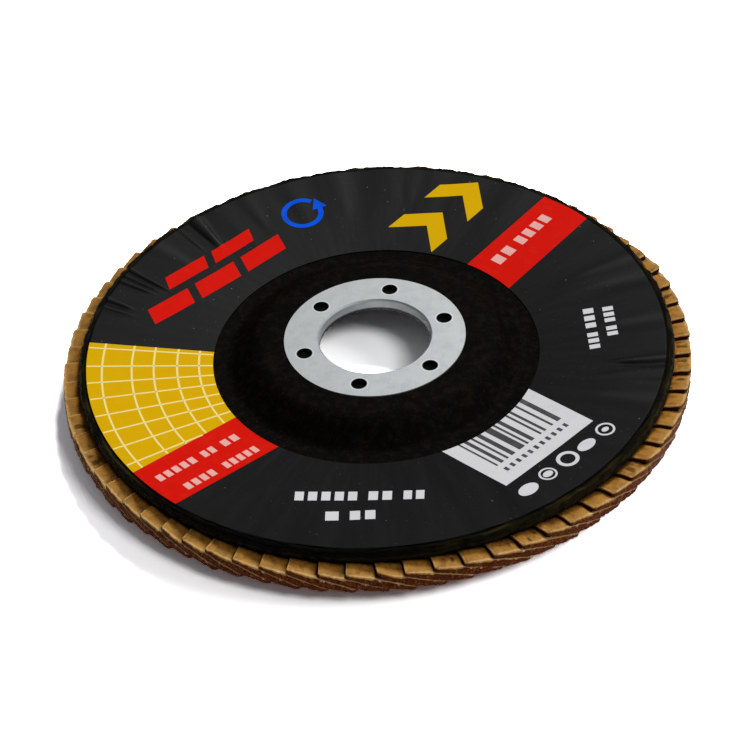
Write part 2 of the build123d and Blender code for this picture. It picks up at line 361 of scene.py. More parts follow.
class Recipe:
    """One material's nodes, with the colour and the bumps that they have built up so far."""

    def __init__(self, name: str, colour: Colour, specular: float, metallic: float = 0.0) -> None:
        """Starts a material.

        Args:
            name: Name of the material.
            colour: The colour that the others are laid over.
            specular: Specular level of its shader.
            metallic: Share of metal in its shader.
        """
        self.material = bpy.data.materials.new(name)
        self.material.use_nodes = True
        self.tree = self.material.node_tree
        self.shader = self.tree.nodes["Principled BSDF"]
        self.shader.inputs["Specular IOR Level"].default_value = specular
        self.shader.inputs["Metallic"].default_value = metallic
        self.colour: Input = colour
        self.normal: Socket | None = None

    def feed(self, socket: Socket, value: Input) -> None:
        """Wires a socket to another one, or sets its value."""
        if isinstance(value, Socket):
            self.tree.links.new(value, socket)
        else:
            socket.default_value = value

    def node(self, kind: str, inputs: dict[str | int, Input],
             **settings: str | bool) -> bpy.types.Node:
        """Lays down one node.

        Args:
            kind: Type of the node.
            inputs: What each of its inputs takes.
            **settings: The node's own settings.

        Returns:
            The node.
        """
        node = self.tree.nodes.new(kind)
        for name, setting in settings.items():
            setattr(node, name, setting)
        for key, value in inputs.items():
            self.feed(node.inputs[key], value)
        return node

    def place(self) -> Socket:
        """Place on the object, in millimetres."""
        metres = self.node("ShaderNodeTexCoord", {}).outputs["Object"]
        inputs = {0: metres, "Scale": 1 / MM}
        return self.node("ShaderNodeVectorMath", inputs, operation="SCALE").outputs[0]

    def attribute(self, name: str, output: str = "Fac") -> Socket:
        """A named value that the mesh holds."""
        return self.node("ShaderNodeAttribute", {}, attribute_name=name).outputs[output]

    def parts(self, vector: Socket) -> list[Socket]:
        """The three numbers of a vector."""
        return list(self.node("ShaderNodeSeparateXYZ", {0: vector}).outputs)

    def vector(self, x: Input, y: Input, z: Input) -> Socket:
        """A vector of three numbers."""
        return self.node("ShaderNodeCombineXYZ", {0: x, 1: y, 2: z}).outputs[0]

    def maths(self, operation: str, first: Input, second: Input = 0.0) -> Socket:
        """One step of arithmetic."""
        return self.node("ShaderNodeMath", {0: first, 1: second}, operation=operation).outputs[0]

    def times(self, first: Input, *others: Input) -> Input:
        """Product of numbers."""
        for other in others:
            first = self.maths("MULTIPLY", first, other)
        return first

    def plus(self, first: Input, second: Input) -> Socket:
        """Sum of two numbers."""
        return self.maths("ADD", first, second)

    def less(self, first: Input, second: Input) -> Socket:
        """What is left of a number when another is taken away."""
        return self.maths("SUBTRACT", first, second)

    def length(self, x: Input, y: Input) -> Socket:
        """Length of the longest side of a right triangle."""
        return self.maths("SQRT", self.plus(self.times(x, x), self.times(y, y)))

    def shifted(self, place: Socket, shift: Input) -> Socket:
        """A place moved by the same amount along all three directions."""
        inputs = {0: place, 1: self.vector(shift, shift, shift)}
        return self.node("ShaderNodeVectorMath", inputs).outputs[0]

    def stretched(self, place: Socket, scale: tuple[float, float, float]) -> Socket:
        """A place whose three directions are scaled apart."""
        return self.node("ShaderNodeMapping", {"Vector": place, "Scale": scale}).outputs[0]

    def round_axis(self, place: Socket, radius: float = 1.0) -> Socket:
        """Place as its radius, its way round the axis at a given radius, and its height."""
        x, y, z = self.parts(place)
        return self.vector(self.length(x, y), self.times(self.maths("ARCTAN2", y, x), radius), z)

    def noise(self, place: Socket, scale: float, detail: float = 3.0,
              roughness: float = 0.55) -> Socket:
        """Cloudy noise with a number of features per millimetre."""
        inputs = {"Vector": place, "Scale": scale, "Detail": detail, "Roughness": roughness}
        return self.node("ShaderNodeTexNoise", inputs).outputs[0]

    def cells(self, place: Socket, scale: float, output: str = "Distance") -> Socket:
        """Distance to the nearest grain, or the grain's own random colour."""
        return self.node("ShaderNodeTexVoronoi", {"Vector": place, "Scale": scale}).outputs[output]

    def ease(self, value: Input, low: float, high: float) -> Socket:
        """Eases from 0 at low to 1 at high."""
        inputs = {"Value": value, "From Min": low, "From Max": high}
        return self.node("ShaderNodeMapRange", inputs, interpolation_type="SMOOTHSTEP").outputs[0]

    def between(self, value: Input, low: float, high: float) -> Socket:
        """Spreads a share from 0 to 1 over a range."""
        inputs = {"Value": value, "To Min": low, "To Max": high}
        return self.node("ShaderNodeMapRange", inputs).outputs[0]

    def mix(self, share: Input, first: Input, second: Input) -> Socket:
        """Mixes two colours."""
        inputs = {0: share, 6: first, 7: second}
        return self.node("ShaderNodeMix", inputs, data_type="RGBA").outputs[2]

    def paint(self, colour: Input, *shares: Input) -> None:
        """Lays a colour over the one so far, by the product of some shares."""
        self.colour = self.mix(self.times(*shares), self.colour, colour)

    def bump(self, height: Input, depth: float) -> None:
        """Adds bumps of a depth in millimetres to those so far."""
        inputs: dict[str | int, Input] = {"Height": height, "Distance": depth * MM, "Strength": 1.0}
        if self.normal is not None:
            inputs["Normal"] = self.normal
        self.normal = self.node("ShaderNodeBump", inputs).outputs[0]

    def done(self, roughness: Input) -> Material:
        """Wires the shader and gives the finished material."""
        self.feed(self.shader.inputs["Base Color"], self.colour)
        self.feed(self.shader.inputs["Roughness"], roughness)
        if self.normal is not None:
            self.feed(self.shader.inputs["Normal"], self.normal)
        return self.material


@dataclass(frozen=True)
class FibreFinish:
    """Pressed glass fibre in dark phenolic resin, with a rough pale rim.

    Attributes:
        resin: Colour of the resin.
        mottle: Colour of its lighter clouds.
        strand: Colour of strands that lie near the surface.
        rust: Colour of the red-brown specks.
        rim_resin: Colour of the resin along the cut rim.
        rim_fibre: Colour of the fibres there.
        rim_from: Radius where the cut rim begins.
        near_rim_shade: Colour of the painted shade on the rim's front side.
        near_rim_shade_turn: Direction that this painted shade faces.
        weave_pitch: Pitch of the glass cloth pressed into the underside.
    """

    resin: Colour = srgb(5, 4, 3)
    mottle: Colour = srgb(19, 14, 8)
    strand: Colour = srgb(40, 33, 17)
    rust: Colour = srgb(60, 24, 15)
    rim_resin: Colour = srgb(13, 11, 4)
    rim_fibre: Colour = srgb(46, 39, 16)
    rim_from: float = 57.4
    near_rim_shade: Colour = srgb(1, 1, 1)
    near_rim_shade_turn: float = -108.0
    weave_pitch: float = 2.6

    def make(self) -> Material:
        """Builds the material."""
        recipe = Recipe("fibre_plate", self.resin, specular=0.02)
        place = recipe.place()
        ringwise = recipe.round_axis(place, 40.0)
        radius = recipe.parts(ringwise)[0]
        clouds = recipe.noise(place, 0.55, 5.0, 0.7)
        strands = recipe.noise(recipe.stretched(ringwise, (0.55, 1.6, 1.0)), 1.5, 4.0, 0.65)
        specks = recipe.noise(recipe.shifted(place, 31.0), 2.1, 2.0, 0.5)
        streaks = recipe.noise(recipe.stretched(ringwise, (1.6, 0.3, 1.4)), 0.8, 3.0, 0.5)
        at_rim = recipe.ease(radius, self.rim_from, self.rim_from + 0.7)
        recipe.paint(self.mottle, recipe.ease(clouds, 0.42, 0.72))
        recipe.paint(self.strand, recipe.ease(strands, 0.6, 0.78))
        recipe.paint(self.rust, recipe.ease(specks, 0.7, 0.78))
        recipe.paint(self.rim_resin, at_rim)
        recipe.paint(self.rim_fibre, at_rim, recipe.ease(streaks, 0.42, 0.74))
        # Painted shade down the rim's wall, deeper below the plate's top face.
        recipe.paint(self.resin, recipe.attribute("rim_wall_shade"), 0.6)
        x, y, _ = recipe.parts(place)
        # Painted shade on the rim's front side, which faces the camera.
        cos, sin = heading(self.near_rim_shade_turn)
        towards = recipe.plus(recipe.times(x, cos), recipe.times(y, sin))
        near_rim_shade = recipe.ease(recipe.maths("DIVIDE", towards, radius), 0.8, 0.96)
        recipe.paint(self.near_rim_shade, near_rim_shade, at_rim, 0.96)
        threads = [recipe.maths("SINE", recipe.times(way, math.pi / self.weave_pitch))
                   for way in (x, y)]
        highest = recipe.maths("MAXIMUM", *(recipe.maths("ABSOLUTE", wave) for wave in threads))
        woven = recipe.times(recipe.maths("POWER", highest, 3.0), recipe.attribute("under"))
        recipe.paint(self.strand, woven, 0.5)
        recipe.bump(recipe.noise(place, 3.5, 4.0, 0.7), 0.07)
        recipe.bump(woven, 0.12)
        recipe.bump(recipe.times(streaks, at_rim), 0.25)
        return recipe.done(recipe.between(clouds, 0.75, 0.55))


@dataclass(frozen=True)
class ZincFinish:
    """Dull zinc plate on stamped steel, with faint scratches.

    Attributes:
        zinc: Colour of the plating.
        dull: Colour of its duller clouds.
        scratch: Colour of the scratches.
        hole_rim_highlight: Colour of the painted highlight on the key holes' rims.
        shade: Colour inside the key holes and low in the bore.
        hole_circle: Radius of the circle that the key holes lie on.
        hole_turn: Direction of the first key hole.
        hole_count: Number of key holes.
        hole_radius: Radius of a key hole.
        bore: Radius of the bore.
    """

    zinc: Colour = srgb(172, 176, 177)
    dull: Colour = srgb(162, 166, 167)
    scratch: Colour = srgb(130, 134, 138)
    hole_rim_highlight: Colour = srgb(214, 217, 218)
    shade: Colour = srgb(9, 9, 9)
    hole_circle: float = 14.54
    hole_turn: float = 14.95
    hole_count: int = 6
    hole_radius: float = 1.45
    bore: float = 11.115

    def make(self) -> Material:
        """Builds the material."""
        recipe = Recipe("zinc", self.zinc, specular=0.5, metallic=0.35)
        place = recipe.place()
        clouds = recipe.noise(place, 0.35, 5.0, 0.65)
        lines = recipe.noise(recipe.stretched(place, (6.0, 0.25, 1.0)), 1.0, 2.0, 0.4)
        recipe.paint(self.dull, recipe.ease(clouds, 0.35, 0.75))
        recipe.paint(self.scratch, recipe.ease(lines, 0.7, 0.76), 0.5)
        recipe.paint(self.scratch, recipe.ease(recipe.cells(place, 0.55), 0.07, 0.04), 0.6)
        radius, turn, height = recipe.parts(recipe.round_axis(place))
        away = recipe.less(self.from_hole(recipe, radius, turn), self.hole_radius)
        # Painted highlight round the key holes' rims, and painted shade just inside them.
        recipe.paint(self.hole_rim_highlight, recipe.ease(away, 0.5, 0.3), recipe.ease(away, 0.1, 0.18), 0.45)
        recipe.paint(self.shade, recipe.ease(away, 0.16, 0.1))
        # Painted shade low in the bore.
        in_bore = recipe.ease(radius, self.bore + 0.3, self.bore + 0.2)
        recipe.paint(self.shade, in_bore, recipe.ease(height, 0.8, 0.5))
        recipe.bump(recipe.noise(place, 5.0, 3.0, 0.6), 0.012)
        recipe.bump(lines, 0.01)
        return recipe.done(recipe.between(clouds, 0.42, 0.6))

    def from_hole(self, recipe: Recipe, radius: Socket, turn: Socket) -> Socket:
        """Distance from the middle of the nearest key hole.

        The turn is folded so that every key hole lies at 0. The distance along the hole's
        direction and the one square to it then give the distance in a right triangle.

        Args:
            recipe: Material that the nodes go into.
            radius: Distance from the axis.
            turn: Turn round the axis, in radians.

        Returns:
            The distance, in millimetres.
        """
        past = recipe.less(turn, math.radians(self.hole_turn))
        folded = recipe.maths("PINGPONG", past, math.pi / self.hole_count)
        along = recipe.less(recipe.times(radius, recipe.maths("COSINE", folded)), self.hole_circle)
        return recipe.length(along, recipe.times(radius, recipe.maths("SINE", folded)))


@dataclass(frozen=True)
class PaperFinish:
    """Black varnished label paper with dust and scuffs.

    Attributes:
        black: Colour of the print.
        worn: Colour of its rubbed clouds.
        dust: Colour of the dust.
        ridge: Colour of the painted highlight along the ridges of the creases.
        groove: Colour of the painted shade in their grooves and along the outer border.
        border_from: Radius where the rubbed, matt border with painted shade begins.
        dust_sizes: Pitch, size and strength of coarse and of fine dust.
    """

    black: Colour = srgb(5, 6, 6)
    worn: Colour = srgb(15, 16, 16)
    dust: Colour = srgb(120, 112, 96)
    ridge: Colour = srgb(44, 45, 46)
    groove: Colour = srgb(2, 2, 2)
    border_from: float = 57.1
    dust_sizes: tuple[tuple[float, float, float], ...] = ((2.4, 0.075, 1.0), (1.3, 0.09, 0.4))

    def make(self) -> Material:
        """Builds the material."""
        recipe = Recipe("label_paper", self.black, specular=0.085)
        place = recipe.place()
        ringwise = recipe.round_axis(place, 45.0)
        streaks = recipe.noise(recipe.stretched(ringwise, (0.12, 1.0, 1.0)), 0.35, 4.0, 0.6)
        recipe.paint(self.worn, recipe.ease(streaks, 0.35, 0.8))
        # Painted highlight along the creases' ridges, and painted shade in their grooves.
        recipe.paint(self.ridge, recipe.attribute("ridge"), 0.5)
        recipe.paint(self.groove, recipe.attribute("groove"), 0.95)
        for pitch, size, share in self.dust_sizes:
            dots = recipe.ease(recipe.cells(place, 1 / pitch), size, 0.25 * size)
            clouds = recipe.noise(recipe.shifted(place, 9.0 * pitch), 0.13, 2.0)
            recipe.paint(self.dust, dots, recipe.ease(clouds, 0.42, 0.56), share)
        # Painted shade along the label's outer border, which is also made matt.
        border = recipe.ease(recipe.parts(ringwise)[0], self.border_from, self.border_from + 0.35)
        recipe.paint(self.groove, border)
        recipe.bump(recipe.noise(place, 6.0, 3.0, 0.6), 0.004)
        recipe.bump(streaks, 0.03)
        rubbed = recipe.between(recipe.noise(place, 1.2, 4.0, 0.6), 0.36, 0.52)
        return recipe.done(recipe.maths("MAXIMUM", rubbed, recipe.times(border, 0.95)))


@dataclass(frozen=True)
class InkFinish:
    """Solid printed ink with faint rubbing.

    Attributes:
        name: Name of the material.
        ink: Colour of the ink.
        rubbed: Colour where it is rubbed thin.
    """

    name: str
    ink: Colour
    rubbed: Colour

    def make(self) -> Material:
        """Builds the material."""
        recipe = Recipe(self.name, self.ink, specular=0.015)
        place = recipe.place()
        clouds = recipe.noise(place, 0.4, 5.0, 0.65)
        flecks = recipe.ease(recipe.noise(place, 3.2, 3.0, 0.6), 0.62, 0.75)
        thin = recipe.times(recipe.ease(clouds, 0.45, 0.85), 0.4)
        recipe.paint(self.rubbed, recipe.plus(thin, recipe.times(flecks, 0.35)))
        recipe.bump(recipe.noise(place, 6.0, 3.0, 0.6), 0.004)
        return recipe.done(recipe.between(clouds, 0.42, 0.55))


@dataclass(frozen=True)
class ResinFinish:
    """Dark cured resin.

    Attributes:
        dark: Colour of the resin.
        amber: Colour where it is thin.
    """

    dark: Colour = srgb(22, 14, 8)
    amber: Colour = srgb(64, 38, 16)

    def make(self) -> Material:
        """Builds the material."""
        recipe = Recipe("resin", self.dark, specular=0.45)
        place = recipe.place()
        clouds = recipe.noise(place, 0.8, 4.0, 0.6)
        recipe.paint(self.amber, recipe.ease(clouds, 0.45, 0.8))
        recipe.bump(recipe.noise(place, 1.4, 3.0, 0.5), 0.08)
        return recipe.done(recipe.between(clouds, 0.25, 0.45))


@dataclass(frozen=True)
class AbrasiveFinish:
    """Woven cloth backing above, abrasive grain in red-brown resin below.

    The mesh gives each point its place on its own flap: the distance in from the outer
    end, the distance from the glued edge, and the depth below the cloth's face.

    Attributes:
        cloth: Colour of the cloth.
        cloth_dark: Colour of its sodden clouds.
        cloth_pale_and_light: Colour of rubbed threads, also painted as light towards the outer end.
        fluff: Colour of the threads that stand out of the cut edges.
        under_plate_shade: Painted shade near the plate, where the flaps run under its rim.
        glued_edge_shade: Painted shade on the glued edge's side, in the gap to the flap before.
        covered: Colour of the cloth that the next flap lies on.
        grain: Colour of the grain.
        grain_dark: Colour of the resin between grains.
        grain_pale: Colour of the grains that catch light.
        stamp: Colour of the smudges on some flaps.
        cloth_depth: Thickness of the cloth.
        lap: Where the next flap begins, from the glued edge.
        thread_pitch: Pitch of the threads.
        grit: Size of a grain.
    """

    cloth: Colour = srgb(180, 124, 48)
    cloth_dark: Colour = srgb(112, 70, 22)
    cloth_pale_and_light: Colour = srgb(222, 184, 118)
    fluff: Colour = srgb(214, 184, 138)
    under_plate_shade: Colour = srgb(24, 15, 7)
    glued_edge_shade: Colour = srgb(46, 15, 7)
    covered: Colour = srgb(74, 34, 14)
    grain: Colour = srgb(106, 46, 14)
    grain_dark: Colour = srgb(56, 20, 7)
    grain_pale: Colour = srgb(146, 82, 34)
    stamp: Colour = srgb(30, 24, 18)
    cloth_depth: float = 0.27
    lap: float = 5.5
    thread_pitch: float = 0.42
    grit: float = 0.22

    def make(self) -> Material:
        """Builds the material."""
        recipe = Recipe("abrasive_cloth", self.cloth, specular=0.03)
        place = recipe.attribute("flap_place", "Vector")
        local = recipe.shifted(place, recipe.times(recipe.attribute("lot"), 97.0))
        inward, across, depth = recipe.parts(place)
        weave = self.woven(recipe, local, inward, across, depth)
        grain, grit = self.gritty(recipe, local)
        uneven = recipe.times(recipe.noise(local, 2.0, 3.0), 0.16)
        below = recipe.ease(recipe.less(depth, uneven), self.cloth_depth - 0.12,
                            self.cloth_depth - 0.04)
        recipe.paint(grain, below)
        # Painted shade on the glued edge's side, below the cloth, in the gap to the flap before.
        recipe.paint(self.glued_edge_shade, recipe.ease(across, 0.5, 0.1), recipe.ease(inward, 0.3, 1.0),
                     recipe.ease(depth, 0.26, 0.44))
        cloth_height = recipe.times(weave, recipe.less(1.0, below))
        recipe.bump(recipe.plus(cloth_height, recipe.times(grit, below)), 0.11)
        return recipe.done(recipe.between(below, 0.82, 0.68))

    def woven(self, recipe: Recipe, local: Socket, inward: Socket, across: Socket,
              depth: Socket) -> Socket:
        """Paints the cloth.

        Args:
            recipe: Material that the nodes go into.
            local: Place for the random patterns.
            inward: Distance in from the outer end.
            across: Distance from the glued edge.
            depth: Depth below the cloth's face.

        Returns:
            The cloth's height.
        """
        threads = [recipe.maths("SINE", recipe.times(way, 2 * math.pi / self.thread_pitch))
                   for way in (inward, across)]
        weave = recipe.between(recipe.times(*threads), 0.5, 1.0)
        clouds = recipe.noise(local, 0.5, 4.0, 0.65)
        slubs = recipe.noise(recipe.stretched(local, (0.5, 3.0, 1.0)), 1.6, 3.0, 0.6)
        recipe.paint(self.cloth_dark, recipe.ease(clouds, 0.38, 0.75))
        recipe.paint(self.cloth_pale_and_light, recipe.ease(slubs, 0.5, 0.75), 0.3)
        # Painted light: the cloth grows paler towards the outer end, away from the plate's shade.
        recipe.paint(self.cloth_pale_and_light, recipe.ease(inward, 2.6, 0.2), 0.22)
        recipe.paint(self.cloth_dark, recipe.less(1.0, weave), 0.5)
        recipe.paint(self.covered, recipe.ease(across, self.lap - 0.75, self.lap - 0.15))
        ragged = recipe.times(recipe.noise(local, 1.8, 3.0), 0.7)
        end_wear = recipe.times(recipe.ease(recipe.plus(inward, ragged), 0.85, 0.35),
                                recipe.ease(depth, 0.12, 0.04))
        edge_wear = recipe.ease(recipe.plus(across, ragged), 0.75, 0.35)
        recipe.paint(self.cloth_pale_and_light, recipe.maths("MAXIMUM", end_wear, edge_wear), 0.55)
        tufts = recipe.ease(recipe.noise(local, 1.1, 4.0, 0.7), 0.54, 0.68)
        edge = recipe.ease(recipe.maths("MINIMUM", inward, across), 0.6, 0.25)
        recipe.paint(self.fluff, tufts, edge, recipe.ease(inward, 1.4, 0.8))
        # Painted shade near the plate, where the flaps run under its rim.
        under_plate_reach = recipe.plus(inward, recipe.times(ragged, 1.6))
        recipe.paint(self.under_plate_shade, recipe.ease(under_plate_reach, 3.1, 4.8))
        strokes = recipe.stretched(recipe.shifted(local, 7.0), (0.5, 1.0, 1.0))
        smudge = recipe.ease(recipe.noise(strokes, 0.75, 1.0, 0.4), 0.5, 0.66)
        along = recipe.times(recipe.ease(inward, 0.3, 0.9), recipe.ease(inward, 3.0, 2.4))
        over = recipe.times(recipe.ease(across, 0.8, 1.6), recipe.ease(across, 4.8, 4.0))
        recipe.paint(self.stamp, smudge, along, over, recipe.attribute("stamped"), 0.7)
        return weave

    def gritty(self, recipe: Recipe, local: Socket) -> tuple[Socket, Socket]:
        """Lays down the grain.

        Args:
            recipe: Material that the nodes go into.
            local: Place for the random patterns.

        Returns:
            The grain's colour and its height.
        """
        grit = recipe.cells(local, 1.0 / self.grit)
        tint = recipe.parts(recipe.cells(local, 1.0 / self.grit, "Color"))[0]
        dark = recipe.mix(recipe.ease(grit, 0.25, 0.6), self.grain, self.grain_dark)
        pale = recipe.times(recipe.ease(tint, 0.7, 1.0), 0.7)
        return recipe.mix(pale, dark, self.grain_pale), recipe.less(1.0, grit)


# ------------------------------------------------------------------------- the disc


@dataclass(frozen=True)
class Section:
    """Section of the moulded plate, which every other piece follows.

    Attributes:
        hub_thickness: Height of the hub's flat.
        hub_corner: Radius where the flat would meet the slope.
        slope_angle: Angle of the slope.
        dish_depth: From the hub's top down to the foot of the slope.
        cone_angle: Angle at which the cone rises outwards.
        plate_thickness: Thickness of the plate.
        plate_radius: Radius of the plate.
    """

    hub_thickness: float = 2.4
    hub_corner: float = 23.7
    slope_angle: float = 40.0
    dish_depth: float = 4.5
    cone_angle: float = 6.27
    plate_thickness: float = 2.2
    plate_radius: float = 59.0

    @property
    def slope_foot(self) -> float:
        """Radius of the foot of the slope."""
        return self.hub_corner + self.dish_depth / math.tan(math.radians(self.slope_angle))

    def cone_top(self, radius: Array | float) -> Array | float:
        """Height of the cone's upper face at a radius."""
        rise = (radius - self.slope_foot) * math.tan(math.radians(self.cone_angle))
        return self.hub_thickness - self.dish_depth + rise

    def cone_under(self, radius: Array | float) -> Array | float:
        """Height of the cone's lower face at a radius."""
        drop = self.plate_thickness / math.cos(math.radians(self.cone_angle))
        return self.cone_top(radius) - drop


@dataclass
class BackingPlate:
    """The moulded fibre plate, with its rough cut rim and the fibres that stand out of it.

    Attributes:
        section: The plate's section.
        ring_seat: Radius of the seat that the centre ring lies in.
        seat_floor: Height of that seat.
        bore: Radius of the hole for the ring's collar.
        hub_bend: Round at the hub's corner.
        foot_bend: Round at the foot of the slope.
        rim_bend: Round at the rim.
        under_bend: Rounds of the underside.
        steps_round: Points round the plate.
        chip_depth: How deep the rim is chipped.
        rim_wobble: How far the rim's height wanders.
        fibre_seed: Seed of the loose fibres.
        fibre_count: Loose fibres along the rim.
        fibre_radius: Half a fibre's thickness.
        fibre_reach: Least and most length to either side of its middle.
        fibre_bow: How far its ends stand in or out.
        fibre_out: How far its middle lies past the rim.
        fibre_drop: How far it lies below the cone's edge.
        fibre_tilt: How far one end lies down or up.
    """

    section: Section
    ring_seat: float = 18.05
    seat_floor: float = 1.8
    bore: float = 11.965
    hub_bend: float = 4.7
    foot_bend: float = 2.5
    rim_bend: float = 0.55
    under_bend: float = 2.0
    steps_round: int = 600
    chip_depth: float = 0.5
    rim_wobble: float = 0.14
    fibre_seed: int = 11
    fibre_count: int = 260
    fibre_radius: float = 0.05
    fibre_reach: Pair = (0.5, 2.2)
    fibre_bow: Pair = (-0.1, 0.3)
    fibre_out: Pair = (-0.7, -0.15)
    fibre_drop: Pair = (0.05, 1.7)
    fibre_tilt: Pair = (-0.25, 0.25)

    def outline(self) -> Array:
        """The section's closed outline, as radius and height."""
        section = self.section
        slope = math.tan(math.radians(section.slope_angle))
        cone = math.tan(math.radians(section.cone_angle))
        shift = section.plate_thickness / math.cos(math.radians(section.slope_angle))
        under_corner = section.hub_corner + (section.hub_thickness - shift) / slope
        level = section.hub_thickness - shift + section.hub_corner * slope
        under_foot = (level - section.cone_under(0.0)) / (slope + cone)
        rim = section.plate_radius
        foot_height = section.cone_top(section.slope_foot)
        under_height = section.cone_under(under_foot)
        path = np.array([  # radius, height, round and the spacing of points after it
            (self.ring_seat, section.hub_thickness, 0, 1.0),
            (section.hub_corner, section.hub_thickness, self.hub_bend, 1.0),
            (section.slope_foot, foot_height, self.foot_bend, 1.3),
            (rim, section.cone_top(rim), self.rim_bend, 0.25),
            (rim, section.cone_under(rim), self.rim_bend, 1.3),
            (under_foot, under_height, self.under_bend, 1.0),
            (under_corner, 0.0, self.under_bend, 1.2),
            (self.bore, 0.0, 0, 2.0),
            (self.bore, self.seat_floor, 0, 2.0),
            (self.ring_seat, self.seat_floor, 0, 2.0),
        ])
        return rounded_path(path[:, :2], path[:, 2], path[:, 3])

    def chip(self, turn: Array) -> Array:
        """How far the rim is chipped back, from two ripples of which the deep parts count."""
        long = Ripple(seed=3, least=20, most=90).at(turn)
        short = Ripple(seed=4, least=90, most=260).at(turn)
        return self.chip_depth * np.clip(0.35 + 0.35 * long + 0.25 * short, 0, 1.2)

    def surface(self) -> Surface:
        """The outline turned about the axis, and chipped and wavy at the rim."""
        outline = self.outline()
        turn = np.linspace(0, 2 * np.pi, self.steps_round, endpoint=False)[:, None]
        radius, height = outline[None, :, 0], outline[None, :, 1]
        rim = smooth(radius, self.section.plate_radius - 1.6, self.section.plate_radius - 0.1)
        upper = height > self.section.cone_under(radius) + 0.5 * self.section.plate_thickness
        side = np.where(upper, 1.0, 0.3)
        wobble = Ripple(seed=5, least=30, most=160).at(turn)
        height = height + rim * self.rim_wobble * wobble
        radius = radius - rim * side * self.chip(turn)
        turn = turn + 0 * radius
        under = np.broadcast_to(1.0 - upper, turn.shape)
        # Share of painted shade down the rim's wall, by depth below the top face.
        rim_wall_shade = rim * smooth(self.section.cone_top(radius) - height, 0.35, 1.0)
        return closed_ring(polar(radius, turn, height), {"under": under, "rim_wall_shade": rim_wall_shade})

    def loose_fibres(self) -> Surface:
        """Short strands that lie along the rim, bowed a little outwards and up or down."""
        random = np.random.default_rng(self.fibre_seed)

        def draw(limits: Pair) -> Array:
            """One random number for each fibre."""
            return random.uniform(*limits, (self.fibre_count, 1))

        rim = self.section.plate_radius
        share = np.linspace(-1, 1, 5)[None]
        turn = draw((0, 2 * np.pi)) + draw(self.fibre_reach) / rim * share
        bow = draw(self.fibre_bow) * share ** 2
        radius = rim + bow + draw(self.fibre_out)
        height = self.section.cone_top(rim) - draw(self.fibre_drop)
        height = height + draw(self.fibre_tilt) * share
        strands = fibres(polar(radius, turn, height), self.fibre_radius)
        strands.values = {name: np.zeros(len(strands.points)) for name in ("under", "rim_wall_shade")}
        return strands

    def build(self, finish: Material) -> None:
        """Makes the plate and its loose fibres."""
        make_piece("backing_plate_moulded", self.surface(), finish, Slot.PLATE, ["backing_plate"])
        make_piece("rim_fibres", self.loose_fibres(), finish, Slot.PLATE)


@dataclass(frozen=True)
class Crease:
    """A pinched fold in the label that runs outwards: a ridge with a groove beside it.

    Attributes:
        turn: Direction of its outer end.
        start: Radius where it begins.
        width: Half its width, below 0 where the groove lies on the other side.
        height: Height of the ridge.
        slant: Degrees that it turns on its way in.
        tone: How strongly its painted highlight and shade mark the paper, for its height.
        lag: How much wider its far side is.
        end: Radius where it ends.
    """

    turn: float
    start: float
    width: float
    height: float
    slant: float = 0.0
    tone: float = 1.0
    lag: float = 1.0
    end: float = 57.6

    def at(self, radius: Array, turn: Array) -> Array:
        """Height at points: the ridge, less a shallower groove."""
        ridge, groove = self.bells(radius, turn)
        return self.height * (ridge - 0.55 * groove)

    def bells(self, radius: Array, turn: Array) -> tuple[Array, Array]:
        """Shares of the ridge and of the groove: bells that widen outwards, eased at their ends."""
        share_in = (self.end - radius) / (self.end - self.start)
        line = math.radians(self.turn) + math.radians(self.slant) * share_in
        width = self.width * (0.4 + 0.6 * smooth(radius, self.start, self.end))
        away = np.angle(np.exp(1j * (turn - line))) * radius / width
        away = np.where(away > 0, away / self.lag, away)
        middle = (self.start + self.end) / 2
        ends = smooth(radius, self.start, middle) * (1 - smooth(radius, self.end, self.end + 1.0))
        return ends * np.exp(-away ** 2), ends * np.exp(-((away - 1.7) ** 2))


